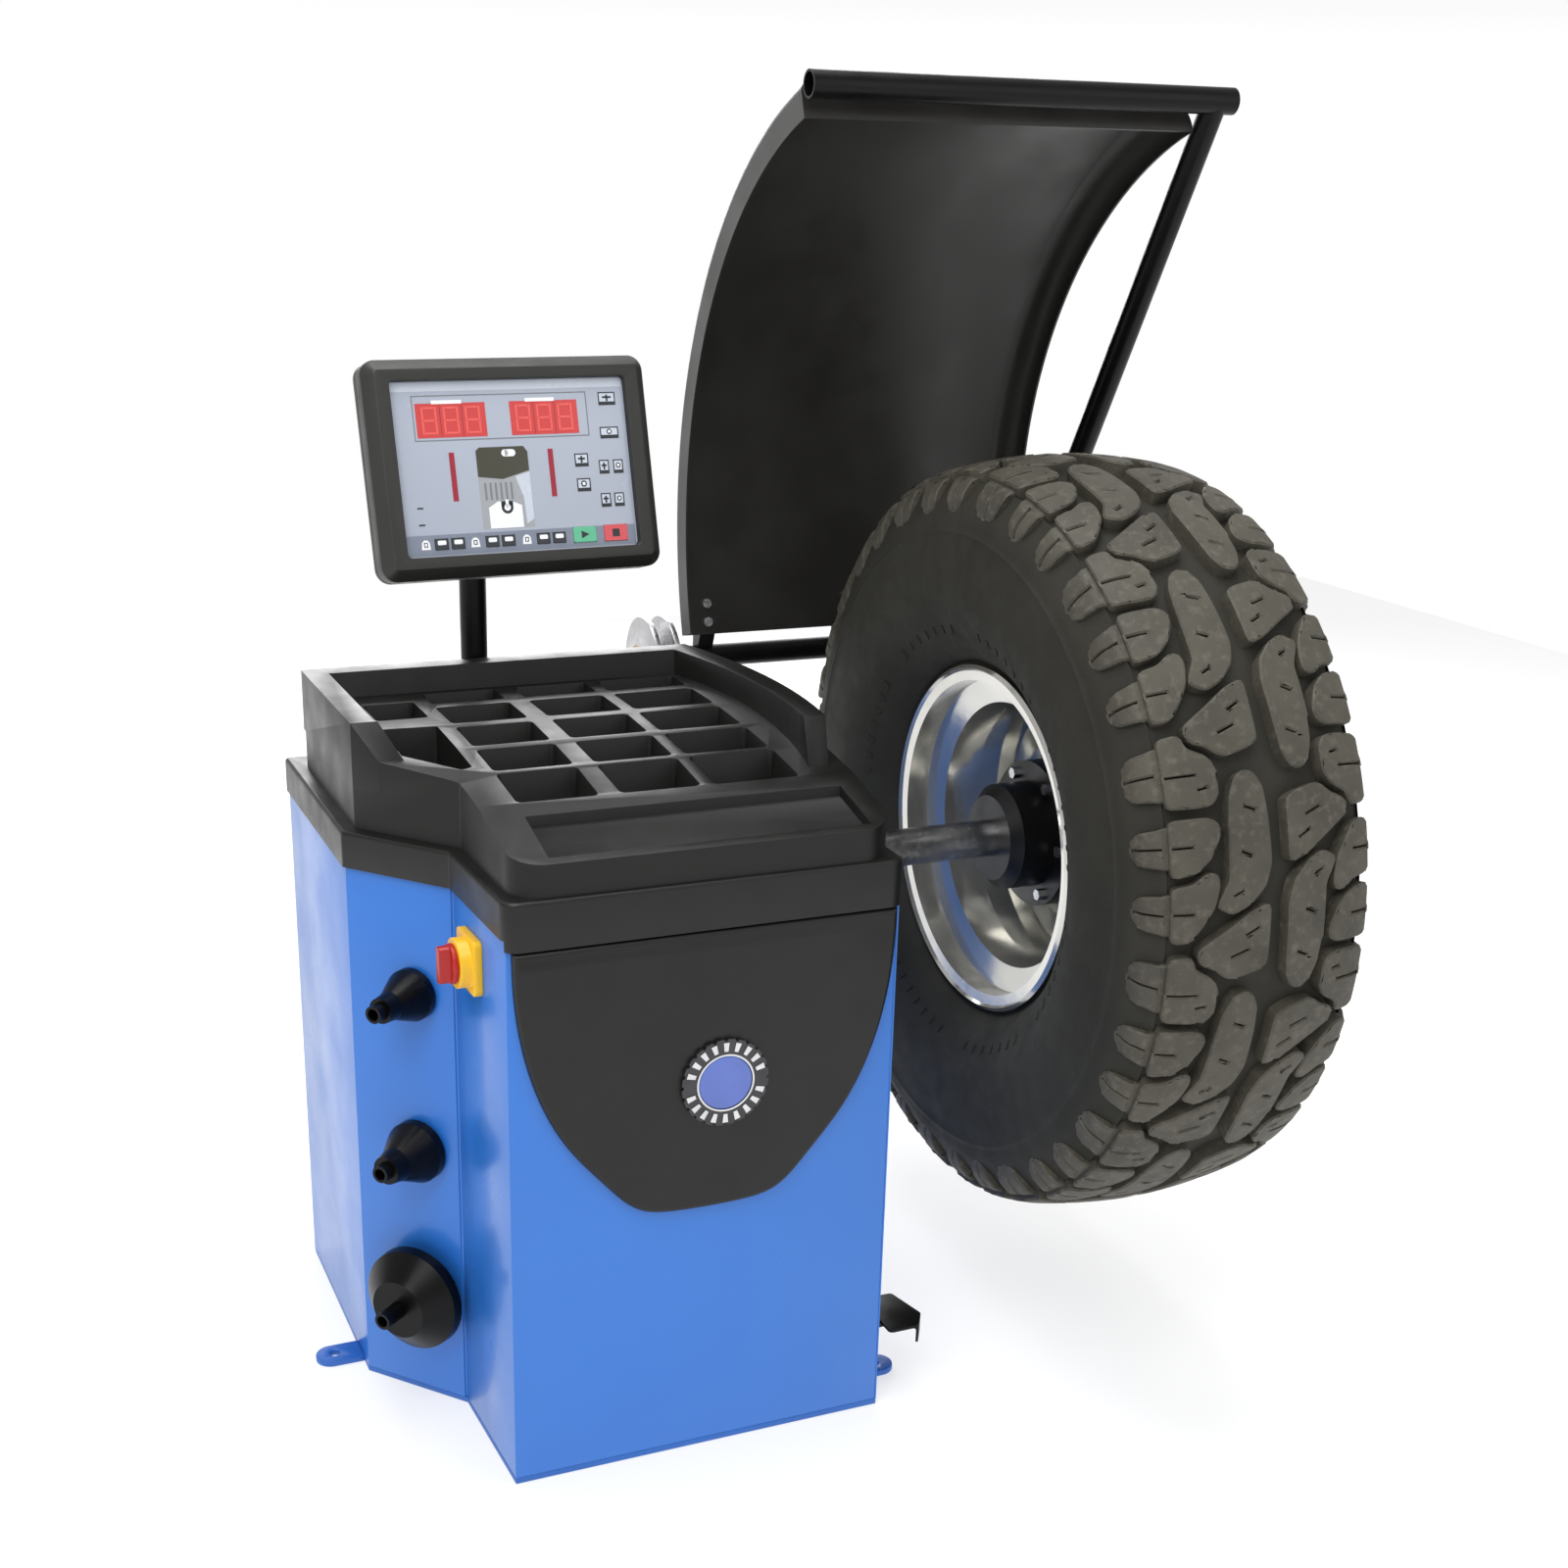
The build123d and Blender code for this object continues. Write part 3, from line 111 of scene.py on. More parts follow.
def make_stage():
    """White floor and plain soft studio light."""
    mesh = bpy.data.meshes.new("floor")
    corners = [(-FLOOR_REACH, -FLOOR_REACH, 0), (FLOOR_REACH, -FLOOR_REACH, 0),
               (FLOOR_REACH, FLOOR_REACH, 0), (-FLOOR_REACH, FLOOR_REACH, 0)]
    mesh.from_pydata(corners, [], [(0, 1, 2, 3)])
    floor = bpy.data.objects.new("floor", mesh)
    floor.location.z = -0.0005         # just under the feet
    bpy.context.scene.collection.objects.link(floor)
    look_of = bpy.data.materials.new("floor")
    look_of.use_nodes = True
    shader = look_of.node_tree.nodes["Principled BSDF"]
    shader.inputs["Base Color"].default_value = (FLOOR_BASE, FLOOR_BASE, FLOOR_BASE, 1)
    shader.inputs["Roughness"].default_value = 0.8
    shader.inputs["Emission Color"].default_value = (1, 1, 1, 1)
    shader.inputs["Emission Strength"].default_value = FLOOR_GLOW
    mesh.materials.append(look_of)
    world = bpy.data.worlds.new("studio")
    world.use_nodes = True
    tree = world.node_tree
    tree.nodes["Background"].inputs["Color"].default_value = (1, 1, 1, 1)
    place = tree.nodes.new("ShaderNodeTexCoord")
    split = tree.nodes.new("ShaderNodeSeparateXYZ")
    height = tree.nodes.new("ShaderNodeMapRange")
    for key, value in (("From Min", HORIZON), ("From Max", SKY), ("To Min", 1.0), ("To Max", SKY_STRENGTH)):
        height.inputs[key].default_value = value
    tree.links.new(place.outputs["Generated"], split.inputs["Vector"])
    tree.links.new(split.outputs["Z"], height.inputs["Value"])
    tree.links.new(height.outputs["Result"], tree.nodes["Background"].inputs["Strength"])
    bpy.context.scene.world = world
    bpy.context.scene.view_settings.view_transform = "Standard"
    area_light("key", (-1.6, -2.2, 4.2), (0.1, 0, 0.7), 2.6, 100)
    area_light("fill", (2.6, -3.0, 2.6), (0.3, 0, 0.8), 2.4, 16)
    area_light("back", (1.2, 3.8, 2.3), (0, 0, 0.85), 3.0, 110)
    area_light("top", (0.1, 0.5, 4.6), (0.1, 0.2, 0.8), 2.6, 100)


# ---- materials ---------------------------------------------------------------------------------
def screen_colour(red, green, blue):
    """Linear colour from 8-bit screen values."""
    steps = [value / 255 for value in (red, green, blue)]
    return tuple(step / 12.92 if step < 0.04 else ((step + 0.055) / 1.055) ** 2.4 for step in steps)


def look(name, colour, rough, metal=0.0, tone=0.12, patch=6.0, spread=0.08, bump=0.0002, grain=900.0,
         coat=0.0, glow=0.0, specular=0.5, scuff=None, scuff_size=60.0):
    """A procedural surface: colour and roughness vary slowly, and a fine grain lifts the normal."""
    made = bpy.data.materials.new(name)
    made.use_nodes = True
    tree = made.node_tree
    links = tree.links
    shader = tree.nodes["Principled BSDF"]
    shader.inputs["Metallic"].default_value = metal
    shader.inputs["Specular IOR Level"].default_value = specular
    shader.inputs["Coat Weight"].default_value = coat
    shader.inputs["Coat Roughness"].default_value = 0.12
    place = tree.nodes.new("ShaderNodeTexCoord")

    def noise(size, detail, seed):
        texture = tree.nodes.new("ShaderNodeTexNoise")
        texture.noise_dimensions = "4D"
        texture.inputs["W"].default_value = seed
        texture.inputs["Scale"].default_value = size
        texture.inputs["Detail"].default_value = detail
        links.new(place.outputs["Object"], texture.inputs["Vector"])
        return texture.outputs["Fac"]

    def spread_to(value, low, high, start=0.3, end=0.7):
        ramp = tree.nodes.new("ShaderNodeMapRange")
        ramp.inputs["From Min"].default_value = start
        ramp.inputs["From Max"].default_value = end
        ramp.inputs["To Min"].default_value = low
        ramp.inputs["To Max"].default_value = high
        links.new(value, ramp.inputs["Value"])
        return ramp.outputs["Result"]

    def mix(factor, first, second):
        node = tree.nodes.new("ShaderNodeMix")
        node.data_type = "RGBA"
        links.new(factor, node.inputs["Factor"])
        for socket, value in ((node.inputs[6], first), (node.inputs[7], second)):
            if isinstance(value, tuple):
                socket.default_value = (*value, 1)
            else:
                links.new(value, socket)
        return node.outputs[2]

    low = tuple(value * (1 - tone) for value in colour)
    high = tuple(min(1, value * (1 + tone)) for value in colour)
    tint = mix(spread_to(noise(patch, 5, 1.0), 0, 1), low, high)
    if scuff:
        tint = mix(spread_to(noise(scuff_size, 8, 7.0), 0, 1, 0.52, 0.74), tint, scuff)
    links.new(tint, shader.inputs["Base Color"])
    links.new(spread_to(noise(patch * 4, 6, 3.0), max(0.02, rough - spread), min(1, rough + spread)),
              shader.inputs["Roughness"])
    lift = tree.nodes.new("ShaderNodeBump")
    lift.inputs["Strength"].default_value = 1.0
    lift.inputs["Distance"].default_value = bump
    links.new(noise(grain, 3, 5.0), lift.inputs["Height"])
    links.new(lift.outputs["Normal"], shader.inputs["Normal"])
    if glow:
        shader.inputs["Emission Color"].default_value = (*colour, 1)
        shader.inputs["Emission Strength"].default_value = glow
    return made


BLUE = screen_colour(42, 116, 208)
LOOKS = {
    "cabinet_paint": look("cabinet_paint", BLUE, 0.34, tone=0.04, patch=2.5, bump=0.00004, grain=500,
                          coat=0.25),
    "base_steel": look("base_steel", screen_colour(40, 102, 186), 0.4, tone=0.08, bump=0.0001),
    "black_plastic": look("black_plastic", screen_colour(22, 22, 21), 0.38, tone=0.12, patch=5, bump=0.00016,
                          grain=1400, specular=0.36),
    "hood_plastic": look("hood_plastic", screen_colour(35, 34, 32), 0.36, tone=0.12, patch=3, bump=0.0001,
                         grain=900),
    "black_paint": look("black_paint", screen_colour(8, 8, 9), 0.34, tone=0.2, bump=0.0001, grain=700,
                        specular=0.2),
    "dark_steel": look("dark_steel", screen_colour(18, 18, 19), 0.36, metal=0.3, tone=0.2, bump=0.0001),
    "grey_paint": look("grey_paint", screen_colour(118, 120, 122), 0.45, tone=0.08),
    "bare_steel": look("bare_steel", screen_colour(190, 190, 192), 0.3, metal=1, tone=0.12, patch=30),
    "bearing_steel": look("bearing_steel", screen_colour(200, 200, 202), 0.2, metal=1, tone=0.1, patch=30),
    "cast_iron": look("cast_iron", screen_colour(96, 97, 98), 0.6, metal=0.6, tone=0.2, bump=0.0006,
                      grain=500),
    "bronze": look("bronze", screen_colour(190, 150, 90), 0.35, metal=1, tone=0.12, patch=25),
    "chrome": look("chrome", screen_colour(214, 213, 208), 0.13, metal=0.82, tone=0.05, patch=9, spread=0.04,
                   bump=0.00004, grain=120),
    "zinc": look("zinc", screen_colour(205, 206, 208), 0.25, metal=1, tone=0.1, patch=60),
    "tyre_rubber": look("tyre_rubber", screen_colour(46, 45, 39), 0.7, tone=0.18, patch=9, bump=0.0006,
                        grain=260, specular=0.28),
    "belt_rubber": look("belt_rubber", screen_colour(32, 32, 32), 0.75, tone=0.2),
    "case_plastic": look("case_plastic", screen_colour(38, 39, 36), 0.42, tone=0.08, bump=0.00015,
                         grain=1500),
    "screen": look("screen", screen_colour(166, 173, 188), 0.22, tone=0.03, patch=3, bump=0.00002, coat=0.4),
    "board": look("board", screen_colour(30, 100, 52), 0.4, tone=0.1),
    "key_dark": look("key_dark", screen_colour(46, 50, 56), 0.4, tone=0.05, bump=0.00004),
    "key_green": look("key_green", screen_colour(96, 186, 146), 0.4, tone=0.06, bump=0.00004),
    "key_red": look("key_red", screen_colour(212, 84, 92), 0.4, tone=0.06, bump=0.00004),
    "switch_yellow": look("switch_yellow", screen_colour(248, 192, 30), 0.32, tone=0.05, bump=0.00006),
    "switch_red": look("switch_red", screen_colour(176, 26, 20), 0.3, tone=0.07, bump=0.00006),
    "badge_chrome": look("badge_chrome", screen_colour(70, 70, 72), 0.2, metal=0.7, tone=0.15, patch=40),
    "badge_blue": look("badge_blue", screen_colour(84, 108, 190), 0.18, tone=0.1, patch=18, coat=0.6),
    "cone_black": look("cone_black", screen_colour(6, 6, 7), 0.3, tone=0.25, bump=0.00012, grain=500,
                       specular=0.2),
    "encoder_plastic": look("encoder_plastic", screen_colour(60, 60, 60), 0.4, tone=0.1),
}
TREAD = look("tyre_tread", screen_colour(73, 70, 61), 0.62, tone=0.24, patch=14, bump=0.0008, grain=320,
             specular=0.4, scuff=screen_colour(96, 91, 82), scuff_size=90)


def dress_nodes():
    """Every CAD node wears the look of its own material slot."""
    for node in NODES.values():
        for index, material in enumerate(node.data.materials):
            node.data.materials[index] = LOOKS[material.name.split(".")[0]]


# ---- mesh helpers ------------------------------------------------------------------------------
SEAM_Y = -0.075                        # where the front and left sheets meet, metres


def new_object(name, verts, faces, body, materials, face_looks=None, smooth=35):
    """A mesh in row coordinates (metres) that rides on a CAD body."""
    mesh = bpy.data.meshes.new(name)
    mesh.from_pydata(verts, [], faces)
    mesh.validate()
    for material in materials:
        mesh.materials.append(material)
    if face_looks:
        mesh.polygons.foreach_set("material_index", face_looks)
    return finish_object(name, mesh, body, smooth)


def finish_object(name, mesh, body, smooth=35):
    """Wraps a mesh in an object, smooths it up to an angle and seats it on its body."""
    mesh.polygons.foreach_set("use_smooth", [True] * len(mesh.polygons))
    mesh.set_sharp_from_angle(angle=math.radians(smooth))
    piece = bpy.data.objects.new(name, mesh)
    bpy.context.scene.collection.objects.link(piece)
    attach(piece, body)
    return piece


def polished(node, width, steps=2, smooth=40, least=32, move=None):
    """A copy of a CAD node with its sharp edges rounded off; the plain node is hidden."""
    source = NODES[node]
    work = bmesh.new()
    work.from_mesh(source.data)
    if move:
        for vertex in work.verts:
            vertex.co = move(vertex.co)
    bmesh.ops.remove_doubles(work, verts=work.verts, dist=2e-6)
    bmesh.ops.dissolve_limit(work, angle_limit=math.radians(1.0), verts=work.verts, edges=work.edges)
    sharp = [edge for edge in work.edges
             if len(edge.link_faces) == 2 and edge.calc_face_angle(0) > math.radians(least)]
    bmesh.ops.bevel(work, geom=sharp, offset=width / 1000, segments=steps, profile=0.5, affect="EDGES",
                    clamp_overlap=True)
    mesh = bpy.data.meshes.new(node + "_polished")
    work.to_mesh(mesh)
    work.free()
    slot = source.data.materials[0].name.split(".")[0]
    mesh.materials.append(LOOKS[slot])
    piece = finish_object(node + "_polished", mesh, source["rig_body"], smooth)
    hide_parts(node)
    return piece


def open_seam(at):
    """Draws the left sheet back a little where it meets the front sheet, so that the joint shows."""
    return Vector((at.x - 0.0027, at.y + 0.0032, at.z)) if abs(at.y - SEAM_Y) < 0.0001 else at


def rounded(points, cut):
    """A closed outline with its corners cut back and eased by one middle point."""
    out = []
    for index, corner in enumerate(points):
        here = Vector(corner)
        before = Vector(points[index - 1]) - here
        after = Vector(points[(index + 1) % len(points)]) - here
        first = here + before * min(0.45, cut / before.length)
        last = here + after * min(0.45, cut / after.length)
        out += [first, (first + here * 2 + last) / 4, last]
    return out


# ---- tyre --------------------------------------------------------------------------------------
WHEEL_X = 618.0                        # mid plane of the wheel, mm
AXIS_Z = 665.0                         # spindle height, mm
TYRE_R = 508.0
PITCHES = 12                           # tread pattern repeats
GROOVE = 18.0                          # tread depth
SHOULDER_START = 142.0                 # arc length where the groove floor starts to rise
SHOULDER_END = 214.0
PROFILE = [(0, 508), (80, 502), (142, 489), (154, 470), (164, 420), (168, 360), (162, 310), (134.5, 256),
           (112.5, 240), (112.5, 219.5)]


def sample_profile():
    """The outer half profile as (arc length, offset, radius, normal) rows, smoothed."""
    knots = [Vector((-80, 502))] + [Vector(point) for point in PROFILE[:8]] + [Vector((112.5, 240))]
    curve = []
    for index in range(1, len(knots) - 2):
        a, b, c, d = knots[index - 1:index + 3]
        for step in range(10):
            t = step / 10
            curve.append(((2 * b) + (c - a) * t + (2 * a - 5 * b + 4 * c - d) * t * t
                          + (3 * b - a - 3 * c + d) * t ** 3) / 2)
    curve.append(knots[-2])
    curve = [Vector((min(168.0, point.x), min(TYRE_R, point.y))) for point in curve]
    rows = []
    length = 0.0
    for index, point in enumerate(curve):
        if index:
            length += (point - curve[index - 1]).length
        ahead = curve[min(index + 1, len(curve) - 1)] - curve[max(index - 1, 0)]
        normal = Vector((-ahead.y, ahead.x)).normalized()
        if index == 0:
            normal = Vector((0, 1))
        rows.append((length, point.x, point.y, normal.x, normal.y))
    return rows


ROWS = sample_profile()


def on_profile(along):
    """Offset, radius and outward normal at an arc length from the middle of the tread."""
    for index in range(1, len(ROWS)):
        if ROWS[index][0] >= along:
            first, last = ROWS[index - 1], ROWS[index]
            t = (along - first[0]) / (last[0] - first[0])
            return [first[k] + (last[k] - first[k]) * t for k in range(1, 5)]
    return list(ROWS[-1][1:])


def ease(value):
    """A smooth step from 0 to 1."""
    value = min(1.0, max(0.0, value))
    return value * value * (3 - 2 * value)


def floor_height(along):
    """Height of the groove floor: full depth across the tread, fading out on the sidewall."""
    return -GROOVE * (1 - ease((along - SHOULDER_START) / (SHOULDER_END - SHOULDER_START)))


def wheel_point(across, around, height):
    """A point of the tyre in metres from arc length across (signed), turn (degrees) and height (mm)."""
    x, r, nx, nr = on_profile(abs(across))
    side = -1 if across < 0 else 1
    r = r + height * nr
    x = WHEEL_X + side * (x + height * nx)
    turn = math.radians(around)
    return (x / 1000, -r * math.cos(turn) / 1000, (AXIS_Z + r * math.sin(turn)) / 1000)


def grown(points, amount):
    """A closed outline moved outwards all round."""
    area = sum(a.x * b.y - b.x * a.y for a, b in zip(points, points[1:] + points[:1]))
    turn = 1 if area > 0 else -1
    out = []
    for index, point in enumerate(points):
        along = (points[(index + 1) % len(points)] - points[index - 1]).normalized()
        out.append(point + Vector((along.y, -along.x)) * amount * turn)
    return out


def block(outline, top, slits=(), cut=5.0, cell=13.0, grow=2.6):
    """One tread block: vertices (across, around, height) and faces; top is a function of across."""
    work = bmesh.new()
    corners = [work.verts.new((point.x, point.y, 0)) for point in grown(rounded(outline, cut), grow)]
    work.faces.new(corners)
    bmesh.ops.triangulate(work, faces=work.faces)

    def split(at, normal):
        bmesh.ops.bisect_plane(work, geom=[*work.verts, *work.edges, *work.faces], dist=1e-4,
                               plane_co=(*at, 0), plane_no=(*normal, 0))

    xs = [point[0] for point in outline]
    ys = [point[1] for point in outline]
    for number in range(1, int((max(xs) - min(xs)) / cell) + 1):
        split((min(xs) + number * cell, 0), (1, 0))
    for number in range(1, int((max(ys) - min(ys)) / cell) + 1):
        split((0, min(ys) + number * cell), (0, 1))
    for start, end in slits:
        start, end = Vector(start), Vector(end)
        along = (end - start).normalized()
        aside = Vector((-along.y, along.x))
        for at, normal in ((start, along), (end, along), (start + aside * 1.1, aside),
                           (start - aside * 1.1, aside)):
            split(at, normal)
        gone = []
        for face in work.faces:
            middle = face.calc_center_median().to_2d() - start
            if abs(middle.dot(aside)) < 1.1 and 0 < middle.dot(along) < (end - start).length:
                gone.append(face)
        bmesh.ops.delete(work, geom=gone, context="FACES")
    base = list(work.faces)
    raised = bmesh.ops.extrude_face_region(work, geom=base, use_keep_orig=True)
    for item in raised["geom"]:
        if isinstance(item, bmesh.types.BMVert):
            item.co.z = 1
    tops = [item for item in raised["geom"] if isinstance(item, bmesh.types.BMFace)]
    bmesh.ops.inset_region(work, faces=tops, thickness=2.4, use_even_offset=True, use_boundary=True)
    inner = set(vertex for face in tops for vertex in face.verts)
    for vertex in work.verts:
        if vertex in inner:
            vertex.co.z = top(vertex.co.x)
        elif vertex.co.z > 0.5:
            vertex.co.z = top(vertex.co.x) - 2.2
        else:
            vertex.co.z = floor_height(vertex.co.x) - 2.5
    bmesh.ops.recalc_face_normals(work, faces=work.faces)
    work.verts.index_update()
    verts = [tuple(vertex.co) for vertex in work.verts]
    faces = [[vertex.index for vertex in face.verts] for face in work.faces]
    work.free()
    return verts, faces


def biter_top(along):
    """Side blocks stand a little above the rising groove floor."""
    return min(0.0, floor_height(along) + 9.5 * (1 - ease((along - 176) / 26)))


def level_top(along):
    """The tread surface."""
    return -1.5 * ease((along - 120) / 20)


def tread_blocks():
    """The blocks of one side and one pitch; across in mm from the middle, around in mm."""
    long_block = [(14, 50), (22, 24), (42, 4), (63, -6), (82, 3), (73, 20), (66, 32), (64, 96), (60, 130),
                  (51, 151), (40, 158), (28, 155), (19, 138), (16, 105)]
    wedge = [(15, 194), (30, 187), (58, 180), (68, 183), (80, 193), (101, 201), (104, 216), (70, 237),
             (38, 258), (15, 266)]
    lug_square = [(76, 136), (84, 125), (104, 123), (138, 125), (138, 205), (113, 207), (108, 191), (85, 179),
                  (76, 166)]
    lug_low = [(138, 42), (110, 47), (92, 62), (79, 88), (80, 101), (92, 107), (138, 107)]
    lug_high = [(138, -38), (117, -36), (101, -16), (88, 4), (82, 28), (84, 41), (96, 42), (112, 30),
                (138, 26)]
    parts = [
        block(long_block, level_top, [((38, 60), (52, 66)), ((30, 112), (44, 118)), ((50, 20), (62, 14))], 6),
        block(wedge, level_top, [((40, 214), (62, 206)), ((28, 240), (44, 232))], 6),
        block(lug_square, level_top, [((100, 160), (139, 160)), ((88, 144), (100, 142))], 6),
        block(lug_low, level_top, [((112, 76), (139, 76))], 6),
        block(lug_high, level_top, [((112, -4), (139, -4))], 6),
    ]
    for low, high in ((134, 196), (52, 100), (-30, 18)):
        middle = (low + high) / 2
        outline = [(136, low), (186, low + 5), (198, low + 12), (198, high - 12), (186, high - 5),
                   (136, high)]
        parts.append(block(outline, biter_top, [((150, middle), (199, middle))], 4))
    return parts


def make_tyre():
    """The whole tyre: a turned carcass with raised tread blocks and small raised ticks on the sidewall."""
    verts, faces, looks = [], [], []
    ring = []
    outer = [*range(0, 121, 12), 130, 138, 144, 150, 156, 162, 168, 176, 184, 192, 200, 208, 216, 222, 226,
             *range(230, 371, 14), 384, 390, 394, 398]
    last = ROWS[-1][0]
    half = []
    for along in outer:
        if along > last - 4:
            break
        rib = 1.6 if along in (226, 390) else 0
        x, r, nx, nr = on_profile(along)
        height = floor_height(along) + (rib if x < 166 else 0)
        half.append((x + nx * height, r + nr * height))
    half += [(134, 256.5), (122, 245), (113.5, 239), (111, 232), (111, 219.6), (92, 219.6), (92, 240),
             (112, 258), (146, 312), (152, 360), (148, 418), (138, 455), (120, 470), (60, 478), (0, 480)]
    full = [(-x, r) for x, r in reversed(half[1:])] + half
    full = full[:-1] if full[0] == full[-1] else full
    count = 180
    rows = len(full)
    for step in range(count):
        turn = 2 * math.pi * step / count
        for x, r in full:
            verts.append(((WHEEL_X + x) / 1000, -r * math.cos(turn) / 1000,
                          (AXIS_Z + r * math.sin(turn)) / 1000))
    for step in range(count):
        here, there = step * rows, (step + 1) % count * rows
        for row in range(rows):
            nxt = (row + 1) % rows
            faces.append((here + row, here + nxt, there + nxt, there + row))
            looks.append(0)
    pitch = 360 / PITCHES
    mm_to_turn = 360 / (2 * math.pi * TYRE_R)
    scale = pitch / (266 * mm_to_turn)
    for part_verts, part_faces in tread_blocks():
        for number in range(PITCHES):
            for side in (-1, 1):
                start = len(verts)
                for across, around, height in part_verts:
                    turn = 37 + around * mm_to_turn * scale + number * pitch
                    if side > 0:
                        turn = 109.5 - turn
                    verts.append(wheel_point(side * across, turn, height))
                for face in part_faces:
                    face = [start + index for index in face]
                    faces.append(face)
                    looks.append(1)
    marks = 72
    for number in range(marks):
        for side in (-1, 1):
            if number % 9 in (0, 1):
                continue
            middle = 360 / marks * number
            start = len(verts)
            for across, lean in ((352, -0.5), (352, 0.5), (364, 0.9), (364, -0.1)):
                for height in (-1, 1.4):
                    verts.append(wheel_point(side * across, middle + lean, height))
            faces += [[start + k for k in face] for face in
                      ((0, 2, 4, 6), (1, 3, 5, 7), (0, 1, 3, 2), (2, 3, 5, 4), (4, 5, 7, 6), (6, 7, 1, 0))]
            looks += [0] * 6
    mesh = bpy.data.meshes.new("tyre_full")
    mesh.from_pydata(verts, [], faces)
    for material in (LOOKS["tyre_rubber"], TREAD):
        mesh.materials.append(material)
    mesh.polygons.foreach_set("material_index", looks)
    work = bmesh.new()
    work.from_mesh(mesh)
    bmesh.ops.recalc_face_normals(work, faces=work.faces)
    work.to_mesh(mesh)
    work.free()
    piece = finish_object("tyre_full", mesh, "spindle", 30)
    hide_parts("tyre")


# ---- display -----------------------------------------------------------------------------------
HEAD_AT = Vector((-60, 262, 1148))
HEAD_YAW = math.radians(4)
HEAD_TILT = math.radians(15)
FACING = Vector((math.sin(HEAD_YAW) * math.cos(HEAD_TILT), -math.cos(HEAD_YAW) * math.cos(HEAD_TILT),
                 math.sin(HEAD_TILT)))
RIGHT = Vector((math.cos(HEAD_YAW), math.sin(HEAD_YAW), 0))
UP = FACING.cross(RIGHT)
PANEL_OUT = -10.0                      # screen surface behind the head's front plane
KEY_TOP = 1.2                          # a key's top above the screen
KEY_COLUMNS = (-111, -89, -43, -21, 27, 49)


class Art:
    """Thin raised shapes in the plane of the screen, gathered into one mesh."""

    def __init__(self):
        self.verts = []
        self.faces = []

    def shape(self, points, low=-0.3, high=0.25):
        start = len(self.verts)
        count = len(points)
        for out in (low, high):
            for x, y in points:
                at = HEAD_AT + RIGHT * x + UP * y + FACING * (PANEL_OUT + out)
                self.verts.append(tuple(at / 1000))
        self.faces.append([start + k for k in reversed(range(count))])
        self.faces.append([start + count + k for k in range(count)])
        for k in range(count):
            nxt = (k + 1) % count
            self.faces.append([start + k, start + nxt, start + count + nxt, start + count + k])

    def bar(self, x0, y0, x1, y1, low=-0.3, high=0.25):
        self.shape([(x0, y0), (x1, y0), (x1, y1), (x0, y1)], low, high)

    def frame(self, x0, y0, x1, y1, wide, high=0.25):
        self.bar(x0, y0, x1, y0 + wide, high=high)
        self.bar(x0, y1 - wide, x1, y1, high=high)
        self.bar(x0, y0 + wide, x0 + wide, y1 - wide, high=high)
        self.bar(x1 - wide, y0 + wide, x1, y1 - wide, high=high)

    def disc(self, x, y, r, high=0.25, count=20, low=-0.3):
        self.shape([(x + r * math.cos(2 * math.pi * k / count), y + r * math.sin(2 * math.pi * k / count))
                    for k in range(count)], low, high)

    def build(self, name, material, body="display", slot="screen"):
        new_object(name, self.verts, self.faces, body, [material])


def digit(art, x, y, wide, tall):
    """A seven-segment figure, all segments on, with its lower left corner at x, y."""
    t = wide * 0.16
    half = tall / 2
    segments = [(t, tall - t, wide - t, tall), (wide - t, half, wide, tall), (wide - t, 0, wide, half),
                (t, 0, wide - t, t), (0, 0, t, half), (0, half, t, tall),
                (t, half - t / 2, wide - t, half + t / 2)]
    for x0, y0, x1, y1 in segments:
        art.bar(x + x0 + 0.4, y + y0 + 0.4, x + x1 - 0.4, y + y1 - 0.4, high=0.55)


BADGE_X = 16                           # middle of the badge, mm
BADGE_Z = 501
BADGE_FACE = -284.5                    # front face of the badge's ring
TEETH = 20


def make_badge():
    """Bright raised teeth round the badge's ring and a thin bright edge round its disc."""
    verts, faces = [], []

    def slab(points, y0, y1):
        start = len(verts)
        count = len(points)
        for y in (y0, y1):
            for x, z in points:
                verts.append(((BADGE_X + x) / 1000, y / 1000, (BADGE_Z + z) / 1000))
        faces.append([start + k for k in range(count)])
        faces.append([start + count + k for k in reversed(range(count))])
        for k in range(count):
            nxt = (k + 1) % count
            faces.append([start + k, start + count + k, start + count + nxt, start + nxt])

    for number in range(TEETH):
        turn = 2 * math.pi * number / TEETH
        out, side = Vector((math.cos(turn), math.sin(turn))), Vector((-math.sin(turn), math.cos(turn)))
        if number % (TEETH // 2) == 0:
            continue
        slab([out * 40 + side * 2.4, out * 51 + side * 3.6, out * 51 - side * 3.6, out * 40 - side * 2.4],
             BADGE_FACE, -286.2)
    count = 48
    turns = [2 * math.pi * k / count for k in range(count)]
    ring = [Vector((math.cos(turn), math.sin(turn))) for turn in turns]
    for k in range(count):
        nxt = (k + 1) % count
        slab([ring[k] * 34.2, ring[k] * 36.4, ring[nxt] * 36.4, ring[nxt] * 34.2], BADGE_FACE, -286.0)
    new_object("badge_teeth", verts, faces, "cabinet",
               [look("badge_bright", screen_colour(214, 214, 216), 0.16, metal=1, tone=0.1, patch=50)])


